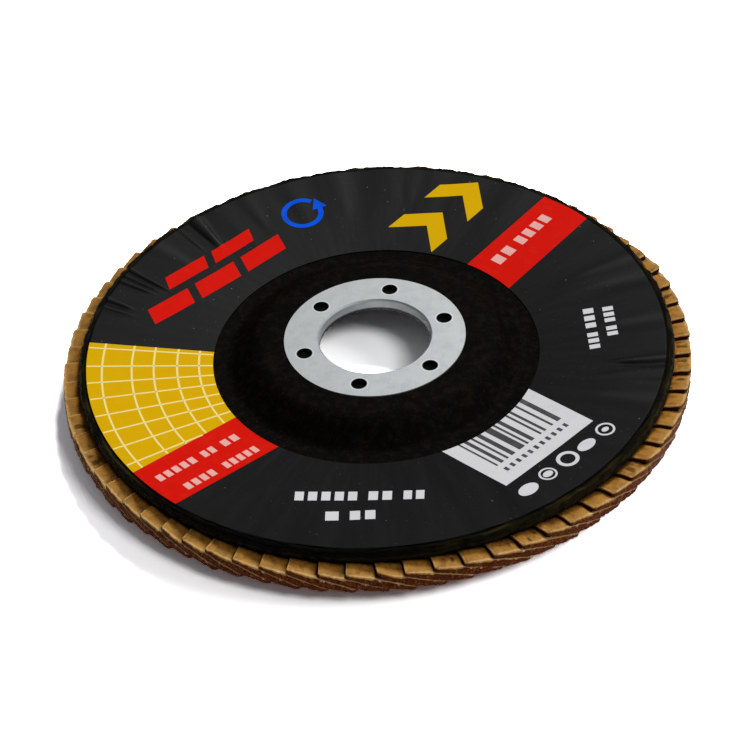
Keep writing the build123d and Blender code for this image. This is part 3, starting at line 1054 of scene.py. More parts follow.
@dataclass
class Label:
    """The printed paper ring, with creases and a soft waviness.

    Attributes:
        section: The plate's section.
        inner: Inner radius.
        outer: Outer radius.
        thickness: Thickness of the paper.
        wave_height: Height of the waviness at the outer edge.
        edge_wander: How far the outer edge wanders.
        edge_droop: How far the outer edge bends down over the rim.
        full_mark: Height of a crease whose painted highlight and shade are at full strength.
        creases: The folds.
        steps_round: Points round the label.
        steps_out: Points from its inner edge to its outer edge.
    """

    section: Section
    inner: float = 32.513
    outer: float = 57.6
    thickness: float = 0.2
    wave_height: float = 0.045
    edge_wander: float = 0.16
    edge_droop: float = 0.09
    full_mark: float = 0.3
    creases: tuple[Crease, ...] = tuple(
        Crease(*row) for row in (
            (128.6, 45.5, 0.9, 0.46, 2.0, 1.0, 2.0), (133.2, 47.0, 0.6, 0.08, 1.6, 3.0),
            (140.0, 43.0, 1.7, 0.06, 0.6, 4.0), (149.4, 45.5, 0.62, 0.30, 2.4, 1.2),
            (151.6, 47.0, 0.4, 0.2, 1.6, 1.4), (153.4, 48.0, 0.6, 0.2, 1.0),
            (159.6, 50.5, 0.7, 0.28, 1.4, 1.2), (162.1, 49.0, 0.5, 0.15, 1.2, 1.4),
            (116.0, 43.0, 1.7, 0.04, 0.6, 5.0), (105.5, 41.0, 2.4, 0.04, 0.0, 4.0),
            (94.5, 40.0, 2.2, 0.04, 0.0, 4.0), (78.0, 44.0, 1.8, 0.04, 0.0, 3.0),
            (347.9, 45.5, -0.95, 0.34, -1.2, 1.0, 1.0, 57.2),
            (344.2, 43.0, -1.2, 0.13, -2.6, 1.0, 1.0, 57.2),
            (336.0, 43.0, -1.7, 0.05, -1.0, 4.0), (341.0, 46.0, 1.3, 0.06, 0.0, 2.0),
            (1.0, 43.0, -1.6, 0.05, 0.0, 5.0), (14.5, 44.0, -1.5, 0.05, 2.2, 5.0),
            (20.6, 43.0, -1.3, 0.05, 1.2, 4.5),
        )
    )
    steps_round: int = 1200
    steps_out: int = 40

    def relief(self, radius: Array, turn: Array) -> Array:
        """Height of creases, waves and the drooping edge above the flat paper."""
        outwards = smooth(radius, self.inner, self.outer)
        ripple = Ripple(seed=21, least=10, most=46).at(turn)
        waves = self.wave_height * outwards * (ripple + 0.4)
        folds = sum(crease.at(radius, turn) for crease in self.creases)
        droop = self.edge_droop * smooth(radius, self.outer - 0.22, self.outer + 0.12)
        return np.clip(waves + folds, -0.09, 0.5) - droop

    def top(self, radius: Array, turn: Array) -> Array:
        """Height of the paper's face at radii and turns in radians."""
        return self.section.cone_top(radius) + self.thickness + self.relief(radius, turn)

    def surface(self) -> Surface:
        """The paper's face and a flat back, closed along both edges."""
        turn = np.linspace(0, 2 * np.pi, self.steps_round, endpoint=False)[:, None]
        outer = self.outer + self.edge_wander * Ripple(seed=22, least=14, most=150).at(turn)
        share = 1 - (1 - np.linspace(0, 1, self.steps_out)[None]) ** 1.5
        radius = self.inner + share * (outer - self.inner)
        around = turn + 0 * radius
        height = self.top(radius, around)
        back = self.section.cone_top(radius) + 0.01
        face = polar(radius, around, height)
        low = polar(radius, around, np.minimum(back, height - 0.02))
        points = np.concatenate([low[:, :1], face, low[:, -1:]], axis=1)
        # Painted highlight along the creases' ridges and painted shade in their grooves.
        ridge, groove = (self.marks(radius, around, side) for side in (0, 1))
        return closed_ring(points, {"ridge": ridge, "groove": groove})

    def marks(self, radius: Array, turn: Array, side: int) -> Array:
        """Creases' share of painted highlight (side 0) or of painted shade (side 1)."""
        strength = sum(
            crease.tone * crease.height / self.full_mark * crease.bells(radius, turn)[side]
            for crease in self.creases
        )
        return np.pad(np.clip(strength, 0, 1), ((0, 0), (1, 1)), mode="edge")

    def build(self, finish: Material) -> None:
        """Makes the label."""
        make_piece("paper_label", self.surface(), finish, Slot.PAPER, ["label"])


def polar_point(along: Array | float, across: Array | float, turn: float) -> Array:
    """Point a distance along a direction from the axis, and a distance square to it."""
    cos, sin = heading(turn)
    x, y = along * cos - across * sin, along * sin + across * cos
    return np.stack(np.broadcast_arrays(x, y), axis=-1)


@dataclass(frozen=True)
class Row:
    """Row of plain blocks along a direction, in a few groups.

    Attributes:
        turn: Direction of the row.
        start: Where it starts, along the direction.
        side: Its near side, square to the direction.
        height: Height of its blocks.
        groups: Gap before each group, and the group's length.
        pace: From block to block, as a share of the height.
        fill: Share of that step that a block fills.
    """

    turn: float
    start: float
    side: float
    height: float
    groups: tuple[Pair, ...]
    pace: float = 0.95
    fill: float = 0.68

    def blocks(self) -> list[Pair]:
        """Start and end of each block, along the direction."""
        places: list[Pair] = []
        start = self.start
        for gap, length in self.groups:
            start += gap
            count = max(1, round(length / (self.pace * self.height)))
            step = length / count
            places += [(start + step * number, start + step * (number + self.fill))
                       for number in range(count)]
            start += length
        return places


@dataclass
class Print:
    """The inks on the label, as thin films that follow the paper's face.

    Directions are in degrees. A pair called sides holds the near and the far side of a
    shape, square to its direction, and a start or reach lies along it.

    Attributes:
        label: The paper.
        spacing: Spacing of the films' points.
        edge_gap: From a band's open end to the label's outer edge.
        yellow_from: Direction where the yellow sector begins, up to the left band.
        left_band_turn: Direction of the left red band, with left_band_sides.
        right_band_turn: Direction of the right red band, with right_band_sides.
        chevron_turn: Direction of the chevrons, with their starts, sides, point and stroke.
        block_turn: Direction of the slanted blocks, with their length, step and slant.
        block_rows: Start, side, height and number of the blocks of each row.
        arrow_centre: Centre of the open ring, with its radius, stroke, head and turn.
        panel_turn: Direction of the white panel, with its half width and its reach.
        bar_places: Side and width of each bar, which all end at bars_reach.
        grid_arcs: Radii of the grid's arcs, whose centres shift by grid_arc_shift.
        grid_line: Width of the grid's lines.
        grid_spokes: Directions of its spokes.
        spoke_gaps: From the label's inner and outer edge to a spoke's ends.
        paper_rows: Rows of blocks on the paper.
        band_rows: Rows of blocks on the red bands.
        mark_count: Number of marks past the bars, with mark_reach.
        mark_places: Side of the first mark, step to the next, and width.
        spots: Centre and half sizes of each spot.
        rings: Centre, radius and stroke of each ring.
    """

    label: Label
    spacing: float = 0.4
    edge_gap: float = 0.2
    yellow_from: float = 173.5
    left_band_turn: float = 220.4
    left_band_sides: Pair = (-5.8, 6.6)
    right_band_turn: float = 44.2
    right_band_sides: Pair = (-7.8, 4.0)
    chevron_turn: float = 44.0
    chevron_starts: Pair = (30.5, 42.0)
    chevron_sides: Pair = (12.6, 24.8)
    chevron_point: float = 5.4
    chevron_stroke: float = 5.0
    block_turn: float = 40.0
    block_length: float = 10.4
    block_step: float = 12.4
    block_slant: float = 1.6
    block_rows: tuple[tuple[float, float, float, int], ...] = (
        (-26.0, 37.6, 4.4, 3), (-17.0, 44.0, 3.4, 2),
    )
    arrow_centre: Pair = (-13.25, 45.2)
    arrow_radius: float = 4.5
    arrow_stroke: float = 1.1
    arrow_head: float = 3.2
    arrow_turn: float = 20.0
    panel_turn: float = -48.7
    panel_half_width: float = 12.0
    panel_reach: float = 46.9
    bars_reach: float = 41.5
    bar_places: tuple[Pair, ...] = (
        (-8.8, 0.4), (-7.6, 0.8), (-6.0, 0.5), (-4.7, 1.0), (-2.6, 1.5), (-0.5, 0.5),
        (0.7, 0.9), (3.1, 0.5), (4.3, 0.6), (6.3, 0.5), (7.9, 1.1),
    )
    grid_arcs: tuple[float, ...] = (35.3, 39.6, 44.2, 48.5, 54.3)
    grid_arc_shift: float = -0.09
    grid_line: float = 0.4
    grid_spokes: tuple[float, ...] = (175.1, 180.9, 186.0, 191.0, 196.3, 201.4, 206.6, 212.2)
    spoke_gaps: Pair = (0.05, 0.3)
    paper_rows: tuple[Row, ...] = (
        Row(-5.2, -13.4, -43.6, 2.6, ((0.0, 12.4), (1.3, 5.2), (1.3, 4.6))),
        Row(-3.0, -9.2, -49.2, 2.6, ((0.0, 3.6), (0.9, 5.6))),
        Row(90.0, -5.8, -44.1, 2.1, ((0.0, 5.4), (1.0, 6.6))),
        Row(90.0, -2.7, -48.0, 2.1, ((0.0, 3.4), (0.8, 5.2))),
    )
    band_rows: tuple[Row, ...] = (
        Row(220.4, 35.6, -2.1, 1.9, ((0.0, 4.4), (1.2, 3.6), (1.2, 9.6))),
        Row(220.4, 35.2, 3.2, 1.9, ((0.0, 8.6), (1.8, 7.6))),
        Row(44.2, 36.0, -1.8, 2.7, ((0.0, 6.2), (1.0, 10.4))),
    )
    mark_count: int = 11
    mark_places: tuple[float, float, float] = (-8.6, 1.62, 0.7)
    mark_reach: Pair = (42.9, 44.1)
    spots: tuple[tuple[Pair, Pair], ...] = (
        ((25.9, -44.9), (1.5, 2.2)), ((29.9, -41.1), (0.8, 1.1)),
        ((37.9, -34.1), (1.3, 2.1)), ((41.9, -30.3), (0.6, 0.8)),
    )
    rings: tuple[tuple[Pair, float, float], ...] = (
        ((29.9, -41.1), 1.8, 0.4), ((34.0, -37.4), 2.2, 0.75), ((41.9, -30.3), 1.9, 0.45),
    )

    def film(self, flat: Array, layer: Layer) -> Surface:
        """Lays a patch of ink on the paper.

        Args:
            flat: Grid of points in plan, (row, column, 2).
            layer: Layer of ink.

        Returns:
            A closed film whose face stands the layer's height above the paper.
        """
        radius = np.hypot(flat[..., 0], flat[..., 1])
        turn = np.arctan2(flat[..., 1], flat[..., 0])
        paper = self.label.top(radius, turn)
        face = np.concatenate([flat, (paper + layer.value)[..., None]], axis=-1)
        back = np.concatenate([flat, (paper - 0.01)[..., None]], axis=-1)
        return slab(np.stack([face, back]))

    def shares(self, first: float, second: float) -> tuple[Array, Array]:
        """Shares from 0 to 1 down and across a patch of two lengths."""
        rows = 2 + int(first / self.spacing)
        columns = 2 + int(second / self.spacing)
        return np.linspace(0, 1, rows)[:, None], np.linspace(0, 1, columns)[None]

    def patch(self, turn: float, corners: Sequence[Pair], centre: Pair = (0.0, 0.0)) -> Surface:
        """Patch with four straight sides, filled with the weighted means of its corners.

        Args:
            turn: Direction that the corners are measured in.
            corners: Distances of each along the direction and square to it.
            centre: Point that they are measured from.

        Returns:
            The film.
        """
        a, b, c, d = (polar_point(*corner, turn) + centre for corner in corners)
        down, over = self.shares(np.linalg.norm(b - a), np.linalg.norm(d - a))
        down, over = down[..., None], over[..., None]
        flat = (1 - down) * ((1 - over) * a + over * d) + down * ((1 - over) * b + over * c)
        return self.film(flat, Layer.GROUND)

    def sheared(self, turn: float, start: float, length: float, sides: Pair,
                shift: float) -> Surface:
        """Parallelogram whose far side is shifted along its direction.

        Args:
            turn: Its direction.
            start: Where its near side starts, along the direction.
            length: Length of both sides.
            sides: Its near and its far side.
            shift: How much further on the far side starts.

        Returns:
            The film.
        """
        near, far = sides
        end = start + length
        return self.patch(turn, [(start, near), (end, near), (end + shift, far),
                                 (start + shift, far)])

    def band(self, turn: float, sides: Pair, start: float | None = None,
             end: float | None = None, layer: Layer = Layer.GROUND) -> Surface:
        """Straight band whose open ends follow the label's two edges.

        Args:
            turn: Direction that it runs in.
            sides: Its two sides.
            start: Where it starts, or None for the label's inner edge.
            end: Where it ends, or None for the label's outer edge.
            layer: Layer of ink.

        Returns:
            The film.
        """
        low, high = sides
        first = self.label.inner if start is None else start
        last = self.label.outer - self.edge_gap if end is None else end
        down, over = self.shares(last - first, high - low)
        across = low + over * (high - low)
        near = np.sqrt(first ** 2 - across ** 2) if start is None else first + 0 * across
        far = np.sqrt(last ** 2 - across ** 2) if end is None else last + 0 * across
        return self.film(polar_point(near + down * (far - near), across + 0 * down, turn), layer)

    def arc(self, centre: Pair, radii: Pair, turns: Pair, layer: Layer = Layer.GROUND) -> Surface:
        """Curved stripe between two radii about a centre."""
        low, high = np.radians(turns)
        down, over = self.shares(radii[1] * (high - low), radii[1] - radii[0])
        turn = low + down * (high - low)
        radius = radii[0] + over * (radii[1] - radii[0])
        x, y = centre[0] + radius * np.cos(turn), centre[1] + radius * np.sin(turn)
        return self.film(np.stack([x, y], axis=-1), layer)

    def spot(self, centre: Pair, half: Pair, turn: float) -> Surface:
        """Filled ellipse: a square whose every row and column bows out to the edge."""
        side = np.linspace(-1, 1, 13)
        a, b = np.meshgrid(side, side, indexing="ij")
        x = half[0] * a * np.sqrt(1 - b * b / 2)
        y = half[1] * b * np.sqrt(1 - a * a / 2)
        return self.film(polar_point(x, y, turn) + centre, Layer.GROUND)

    def meeting(self, turn: float, side: float, radius: Array | float,
                shift: float = 0.0) -> Array | float:
        """Turn at which a circle meets a straight line along a direction.

        A point of the circle lies on the line where the sine of its turn past the line's
        direction is the line's side, less the shift square to the line, over the radius.

        Args:
            turn: Direction of the line, in degrees.
            side: Distance of the line from the axis.
            radius: Radius of the circle.
            shift: Place of the circle's centre along Y.

        Returns:
            The turn about the circle's centre, in radians.
        """
        square = side - shift * math.cos(math.radians(turn))
        return np.radians(turn) + np.arcsin(square / radius)

    def yellow(self) -> list[Surface]:
        """The sector up to the left band, and two chevrons of two strokes each."""
        label, first = self.label, math.radians(self.yellow_from)
        border = (self.left_band_turn, self.left_band_sides[0])
        sweep = self.meeting(*border, label.outer) - first
        down, over = self.shares(label.outer - label.inner, label.outer * sweep)
        radius = label.inner + down * (label.outer - self.edge_gap - label.inner)
        turn = first + over * (self.meeting(*border, radius) - first)
        sector = np.stack([radius * np.cos(turn), radius * np.sin(turn)], axis=-1)
        middle = sum(self.chevron_sides) / 2
        return [self.film(sector, Layer.GROUND)] + [
            self.sheared(self.chevron_turn, start, self.chevron_stroke, (side, middle),
                         self.chevron_point)
            for start in self.chevron_starts for side in self.chevron_sides
        ]

    def grid(self) -> list[Surface]:
        """Cream arcs and spokes over the yellow sector, up to the left band."""
        half = self.grid_line / 2
        band_turn, band_side = self.left_band_turn, self.left_band_sides[0]
        nearest = self.label.inner + self.spoke_gaps[0]
        furthest = self.label.outer - self.spoke_gaps[1]
        films = []
        for radius in self.grid_arcs:
            shift = self.grid_arc_shift * (radius - self.grid_arcs[0])
            ends = (self.meeting(self.yellow_from, 0.0, radius, shift),
                    self.meeting(band_turn, band_side, radius, shift))
            films.append(self.arc((0.0, shift), (radius - half, radius + half),
                                  tuple(np.degrees(ends)), Layer.OVERPRINT))
        for turn in self.grid_spokes:
            crossing = band_side / math.sin(math.radians(turn - band_turn))
            films.append(self.band(turn, (-half, half), max(nearest, crossing), furthest,
                                   Layer.OVERPRINT))
        return films

    def red(self) -> list[Surface]:
        """Two bands across the label, and two rows of slanted blocks."""
        bands = ((self.left_band_turn, self.left_band_sides),
                 (self.right_band_turn, self.right_band_sides))
        return [self.band(*band) for band in bands] + [
            self.sheared(self.block_turn, start + number * self.block_step, self.block_length,
                         (side, side + height), self.block_slant)
            for start, side, height, count in self.block_rows for number in range(count)
        ]

    def blue(self) -> list[Surface]:
        """An open ring that ends in an arrow head."""
        gap = math.degrees(self.arrow_head / self.arrow_radius)
        radii = (self.arrow_radius - self.arrow_stroke, self.arrow_radius)
        turns = (self.arrow_turn + gap, self.arrow_turn + 360.0)
        base, half = sum(radii) / 2, self.arrow_head / 2
        head = [(base - half, 0.0), (base, 0.0), (base + half, 0.0), (base, self.arrow_head)]
        return [self.arc(self.arrow_centre, radii, turns),
                self.patch(self.arrow_turn, head, self.arrow_centre)]

    def blocks(self, row: Row, layer: Layer = Layer.GROUND) -> list[Surface]:
        """The blocks of one row."""
        sides = (row.side, row.side + row.height)
        return [self.band(row.turn, sides, start, end, layer) for start, end in row.blocks()]

    def white(self) -> list[Surface]:
        """The panel, the spots and rings beyond it, and rows of plain blocks."""
        width = self.panel_half_width
        films = [self.band(self.panel_turn, (-width, width), None, self.panel_reach)]
        films += [self.spot(centre, half, self.panel_turn) for centre, half in self.spots]
        films += [self.arc(centre, (radius - stroke, radius), (0.0, 360.0))
                  for centre, radius, stroke in self.rings]
        return films + [film for row in self.paper_rows for film in self.blocks(row)]

    def faded(self) -> list[Surface]:
        """Rows of plain blocks over the red bands."""
        return [film for row in self.band_rows for film in self.blocks(row, Layer.OVERPRINT)]

    def bars(self) -> list[Surface]:
        """Dark bars of uneven width over the white panel, and a row of marks past them."""
        first, step, width = self.mark_places
        stripes = [(side, bar, None, self.bars_reach) for side, bar in self.bar_places]
        stripes += [(first + step * number, width, *self.mark_reach)
                    for number in range(self.mark_count)]
        return [self.band(self.panel_turn, (side, side + width), start, end, Layer.OVERPRINT)
                for side, width, start, end in stripes]

    def build(self) -> None:
        """Makes each ink's films as one piece, in its solid and its rubbed colour."""
        inks = (
            ("yellow_print", self.yellow(), "yellow_ink", (216, 169, 0), (222, 180, 20),
             Slot.YELLOW, ["print_yellow"]),
            ("cream_grid", self.grid(), "cream_ink", (240, 222, 142), (228, 204, 104),
             Slot.YELLOW, []),
            ("red_print", self.red(), "red_ink", (212, 20, 8), (218, 44, 26),
             Slot.RED, ["print_red"]),
            ("blue_print", self.blue(), "blue_ink", (4, 84, 222), (10, 50, 120),
             Slot.BLUE, ["print_blue"]),
            ("white_print", self.white(), "white_ink", (214, 213, 216), (190, 189, 192),
             Slot.WHITE, ["print_white"]),
            ("band_blocks", self.faded(), "faded_white_ink", (232, 176, 168), (224, 130, 120),
             Slot.WHITE, []),
            ("panel_bars", self.bars(), "grey_ink", (72, 72, 74), (120, 120, 122),
             Slot.GREY, ["print_bars"]),
        )
        for name, films, ink, solid, rubbed, slot, nodes in inks:
            finish = InkFinish(ink, srgb(*solid), srgb(*rubbed)).make()
            make_piece(name, join(films), finish, slot, nodes)


@dataclass
class FlapRing:
    """Sheets of abrasive cloth, each lying on the one before it.

    Attributes:
        section: The plate's section.
        disc_radius: Circle through the flaps' outer corners.
        count: Number of flaps.
        per_node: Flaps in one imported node.
        length: Length of a flap, along the radius.
        width: From its glued edge to its free edge.
        thickness: Thickness of cloth and grain.
        set_back: From its radial centre line back to its glued edge.
        clearance: Air between neighbours at their inner ends.
        glue_film: From the plate down to the glued edge.
        rows: Points along a flap.
        columns: Points across a flap.
        free_length: Length of the outer part that can curl.
        ground_radius: Circle that the flaps' outer ends are ground to.
        twist: Lean that a flap's outer end loses, in radians, as it lies up to the next.
        sag: Least and most that a free edge sags at the outer end.
        sag_from: Where the sag begins, from the glued edge.
        flare: How much thicker the frayed outer end is, as a share.
        pressed: How far the cloth is pressed down along the glued edge.
        bulge: How far the flaps bulge up where they come out from under the plate.
        bulge_from: Distances in from the outer end between which the bulge begins.
        bulge_loss: Share of it that is lost at the outer end.
        feather: How much thinner the free edge is worn, as a share: round the disc, and by
            how much more in the direction of most wear.
        feather_turn: That direction.
        worn_from: Directions between which the wear sets in.
        worn_until: Directions between which it runs out.
        worn_most: How much shorter the flaps are between them.
        floor: Lowest height that a flap may reach.
        stamped: Numbers of the flaps that carry smudges.
        glued_corner: Least and most rounding of the glued corner.
        worn_corner: Least and most rounding of the free corner.
        lifted: Numbers of the flaps whose outer corner stands up, with its height.
        peel: The most that the others' corners stand up.
        peel_reach: How far a raised corner reaches in and across.
        seed: Seed of the first flap's wear.
        depths: Depths of the sheets of points, as shares of the thickness.
        pulls: How far each sheet's outer end is drawn in.
        fray: Spread of the outer end's fraying.
        uneven_ends: The most that a flap is shorter by chance.
        curl: The most that the outer end curls up or down.
        tilt: The most that it tilts.
        wave: Height of the waves across it.
        wave_length: Least and most length of a wave.
        skew: The most that it is pushed sideways.
    """

    section: Section
    disc_radius: float = 62.5
    count: int = 72
    per_node: int = 2
    length: float = 22.5
    width: float = 13.5
    thickness: float = 1.05
    set_back: float = 8.5
    clearance: float = 0.06
    glue_film: float = 0.4
    rows: int = 22
    columns: int = 34
    free_length: float = 7.0
    ground_radius: float = 62.36
    twist: float = 0.145
    sag: Pair = (1.0, 1.25)
    sag_from: float = 4.6
    flare: float = 0.66
    pressed: float = 0.22
    bulge: float = 0.4
    bulge_from: Pair = (4.7, 3.3)
    bulge_loss: float = 0.55
    feather: Pair = (0.34, 0.24)
    feather_turn: float = -30.0
    worn_from: Pair = (23.0, 38.0)
    worn_until: Pair = (128.0, 172.0)
    worn_most: float = 1.05
    floor: float = -9.1
    stamped: tuple[int, ...] = (3, 40, 42, 43, 54, 57, 58, 59, 60, 64, 65, 70, 71, 0)
    glued_corner: Pair = (0.3, 0.7)
    worn_corner: Pair = (0.8, 1.6)
    lifted: dict[int, float] = field(default_factory=lambda: {
        5: 0.5, 38: 0.5, 47: 0.7, 52: 0.35, 55: 0.8, 61: 0.4, 66: 0.5, 69: 0.6,
    })
    peel: float = 0.14
    peel_reach: Pair = (2.6, 3.4)
    seed: int = 1000
    depths: tuple[float, ...] = (0.0, 0.1, 0.4, 0.5, 0.88, 1.0)
    pulls: tuple[float, ...] = (0.09, 0.0, 0.0, 0.0, 0.0, 0.07)
    fray: float = 0.05
    uneven_ends: float = 0.18
    curl: float = 0.06
    tilt: float = 0.1
    wave: float = 0.03
    wave_length: Pair = (3.0, 6.0)
    skew: float = 0.3

    @property
    def pitch(self) -> float:
        """Degrees from one flap to the next."""
        return 360.0 / self.count

    @property
    def glued_reach(self) -> float:
        """Outer end of the glued edge, from the axis along the flap's direction."""
        return math.sqrt(self.disc_radius ** 2 - self.set_back ** 2)

    @property
    def lean(self) -> float:
        """Lean of a flap, in radians: its thickness has to fit into the inner pitch."""
        rise = math.radians(self.section.cone_angle)
        step = math.radians(self.pitch)
        inner_end = self.glued_reach - self.length * math.cos(rise)
        closing_up = self.set_back * math.tan(rise) * step
        return math.asin((self.thickness + self.clearance + closing_up) / (inner_end * step))

    @property
    def outer_end(self) -> float:
        """Where the glued edge ends, so that the furthest corner lies on the circle."""
        lean = self.lean
        side = self.width * math.cos(lean) - self.thickness * math.sin(lean) - self.set_back
        drop = self.width * math.sin(lean) + self.thickness * math.cos(lean)
        shift = drop * math.sin(math.radians(self.section.cone_angle))
        return min(self.glued_reach, math.sqrt(self.disc_radius ** 2 - side ** 2) - shift)

    def flap(self, number: int) -> Surface:
        """One flap, from its own random wear.

        Sheets at several depths run inwards from the outer end and across from the glued
        edge. Their ends lie on the circle that the disc is ground to, are rounded at the
        corners and frayed, and the outer part bends up or down by the square of the
        distance past its root.

        Args:
            number: Which flap, counted anticlockwise.

        Returns:
            The flap, with its own place, lot and stamp at each point.
        """
        random = np.random.default_rng(self.seed + number)
        turn = self.pitch * number
        depth = self.thickness * np.array(self.depths)[:, None, None]
        across, rounding, fray = self.cut_edges(random, depth)
        flare = self.flare * smooth(across, 0.5, 6.0)
        origin, along, sideways, normal = self.axes()

        level = depth * (1 + flare) - self.twist * across
        x = origin[0] + across * sideways[0] - level * normal[0]
        y = origin[1] + across * sideways[1] - level * normal[1]
        ground = (x - np.sqrt(self.ground_radius ** 2 - y ** 2)) / along[0]
        worn = float(smooth(turn, *self.worn_from) * (1 - smooth(turn, *self.worn_until)))
        short = random.uniform(0.0, self.uneven_ends) + self.worn_most * worn
        pull = np.array(self.pulls)[:, None, None]
        start = np.clip(ground + short + pull + fray + rounding, -0.4, 2.2)
        down = (np.linspace(0, 1, self.rows) ** 1.6)[None, :, None]
        inward = start + down * (self.length - start)

        rise, skew = self.bend(random, number, inward, across)
        swell = 1 + flare * np.clip(1 - inward / 4, 0, 1) ** 2
        towards_wear = math.cos(math.radians(turn - self.feather_turn))
        thinned = self.feather[0] + self.feather[1] * towards_wear
        swell = swell * (1 - thinned * smooth(across, 8.0, self.width) * smooth(inward, 6.0, 2.0))
        dent = (self.pressed * (1 - depth / self.thickness)
                * np.clip(1 - across / 0.9, 0, 1) ** 1.5)

        inwards, over, below = (
            np.broadcast_to(way, inward.shape)[..., None]
            for way in (inward, across + skew, depth * swell + dent - rise)
        )
        points = origin - inwards * along + over * sideways - below * normal
        cos, sin = heading(turn)
        points = points @ np.array([[cos, sin, 0], [-sin, cos, 0], [0, 0, 1]])
        points[..., 2] = np.maximum(points[..., 2], self.floor)
        return slab(points, {
            "flap_place": np.stack(np.broadcast_arrays(inward, across, depth), axis=-1),
            "lot": np.full(inward.shape, random.uniform()),
            "stamped": np.full(inward.shape, float(number in self.stamped)),
        })

    def axes(self) -> tuple[Array, Array, Array, Array]:
        """Outer end of the first flap's glued edge, and its directions out, across and up."""
        lean, slope = self.lean, math.radians(self.section.cone_angle)
        height = self.section.cone_under(self.disc_radius) - self.glue_film
        origin = np.array([self.outer_end, -self.set_back, height])
        along = np.array([math.cos(slope), 0.0, math.sin(slope)])
        normal = np.array([-math.cos(lean) * math.sin(slope), math.sin(lean),
                           math.cos(lean) * math.cos(slope)])
        return origin, along, np.cross(normal, along), normal

    def cut_edges(self, random: np.random.Generator, depth: Array) -> tuple[Array, Array, Array]:
        """Wears a flap's cut edges.

        A corner's rounding is the gap between a quarter circle and its tangent.

        Args:
            random: Source of the flap's own wear.
            depth: Depth of each sheet of points.

        Returns:
            Distance of the points from the glued edge, and how far the corners and the
            fraying set the outer end back.
        """
        sheets = len(self.depths)
        over = np.linspace(0, 1, self.columns)[None, None]
        side_pull = 0.5 * np.array(self.pulls)[:, None, None]
        first = np.clip(side_pull + 0.03 * random.normal(size=(sheets, self.rows, 1)), 0, 0.3)
        across = first + over * (self.width - 2 * first)
        rounding = np.zeros(1)
        for limits, away in ((self.glued_corner, across[:, :1]),
                             (self.worn_corner, self.width - across[:, :1])):
            corner = random.uniform(*limits)
            past = np.clip(corner - away, 0, corner)
            rounding = rounding + corner - np.sqrt(corner ** 2 - past ** 2)
        cloth, grain = (self.fray * random.normal(size=self.columns) for _ in range(2))
        return across, rounding, np.where(depth < 0.45 * self.thickness, cloth, grain)

    def bend(self, random: np.random.Generator, number: int, inward: Array,
             across: Array) -> tuple[Array, Array]:
        """Bends a flap.

        The outer part curls and tilts by the square of its share of the free length, and
        the free edge sags in proportion to the distance from the inner end.

        Args:
            random: Source of the flap's own wear.
            number: Which flap.
            inward: Distance of the points in from the outer end.
            across: Their distance from the glued edge.

        Returns:
            How far the points rise, and how far they are skewed across.
        """
        free = np.clip(1 - inward / self.free_length, 0, 1)
        root = 1 - inward / self.length
        rise = random.uniform(-self.curl, self.curl) * free ** 2
        rise += random.uniform(-self.tilt, self.tilt) * free ** 2 * (across / self.width - 0.5)
        waves = across / random.uniform(*self.wave_length) + random.uniform()
        rise += self.wave * free * np.sin(2 * np.pi * waves)
        peel = self.lifted.get(number, random.uniform(0.0, self.peel))
        reach_in, reach_across = self.peel_reach
        rise += peel * np.clip(1 - inward / reach_in - across / reach_across, 0, 1) ** 1.3
        skew = random.uniform(-self.skew, self.skew) * free ** 1.5
        rise += self.twist * across * root
        at_end = 1 - self.bulge_loss * (1 - smooth(inward, 0.0, 2.5))
        rise += self.bulge * smooth(inward, *self.bulge_from) * at_end
        past = np.clip((across - self.sag_from) / (self.width - self.sag_from), 0, 1)
        rise -= random.uniform(*self.sag) * root * past ** 1.2
        return rise, skew

    def build(self, finish: Material) -> None:
        """Makes each flap as a piece of its own."""
        for number in range(self.count):
            node = f"flaps_{number // self.per_node + 1:02d}"
            name = f"flap_{number + 1:02d}"
            flap = make_piece(name, self.flap(number), finish, Slot.CLOTH, [node])


def dress_node(name: str, material: Material, slot: Slot) -> None:
    """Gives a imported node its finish."""
    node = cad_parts[name]
    node.data.materials.clear()
    node.data.materials.append(material)
    log.info("%s: %s", name, slot.value)


# ------------------------------------------------------------------------- the studio


@dataclass(frozen=True)
class Lamp:
    """A soft round lamp that is turned to the disc.

    Attributes:
        name: Its name.
        place: Where it hangs, in metres.
        size: Its diameter, in metres.
        watts: Its power.
    """

    name: str
    place: tuple[float, float, float]
    size: float
    watts: float

    def hang(self) -> None:
        """Puts the lamp into the scene."""
        light = bpy.data.lights.new(self.name, "AREA")
        light.shape = "DISK"
        light.size = self.size
        light.energy = self.watts
        lamp = link(self.name, light)
        lamp.location = self.place
        lamp.rotation_euler = (-Vector(self.place)).to_track_quat("-Z", "Y").to_euler()


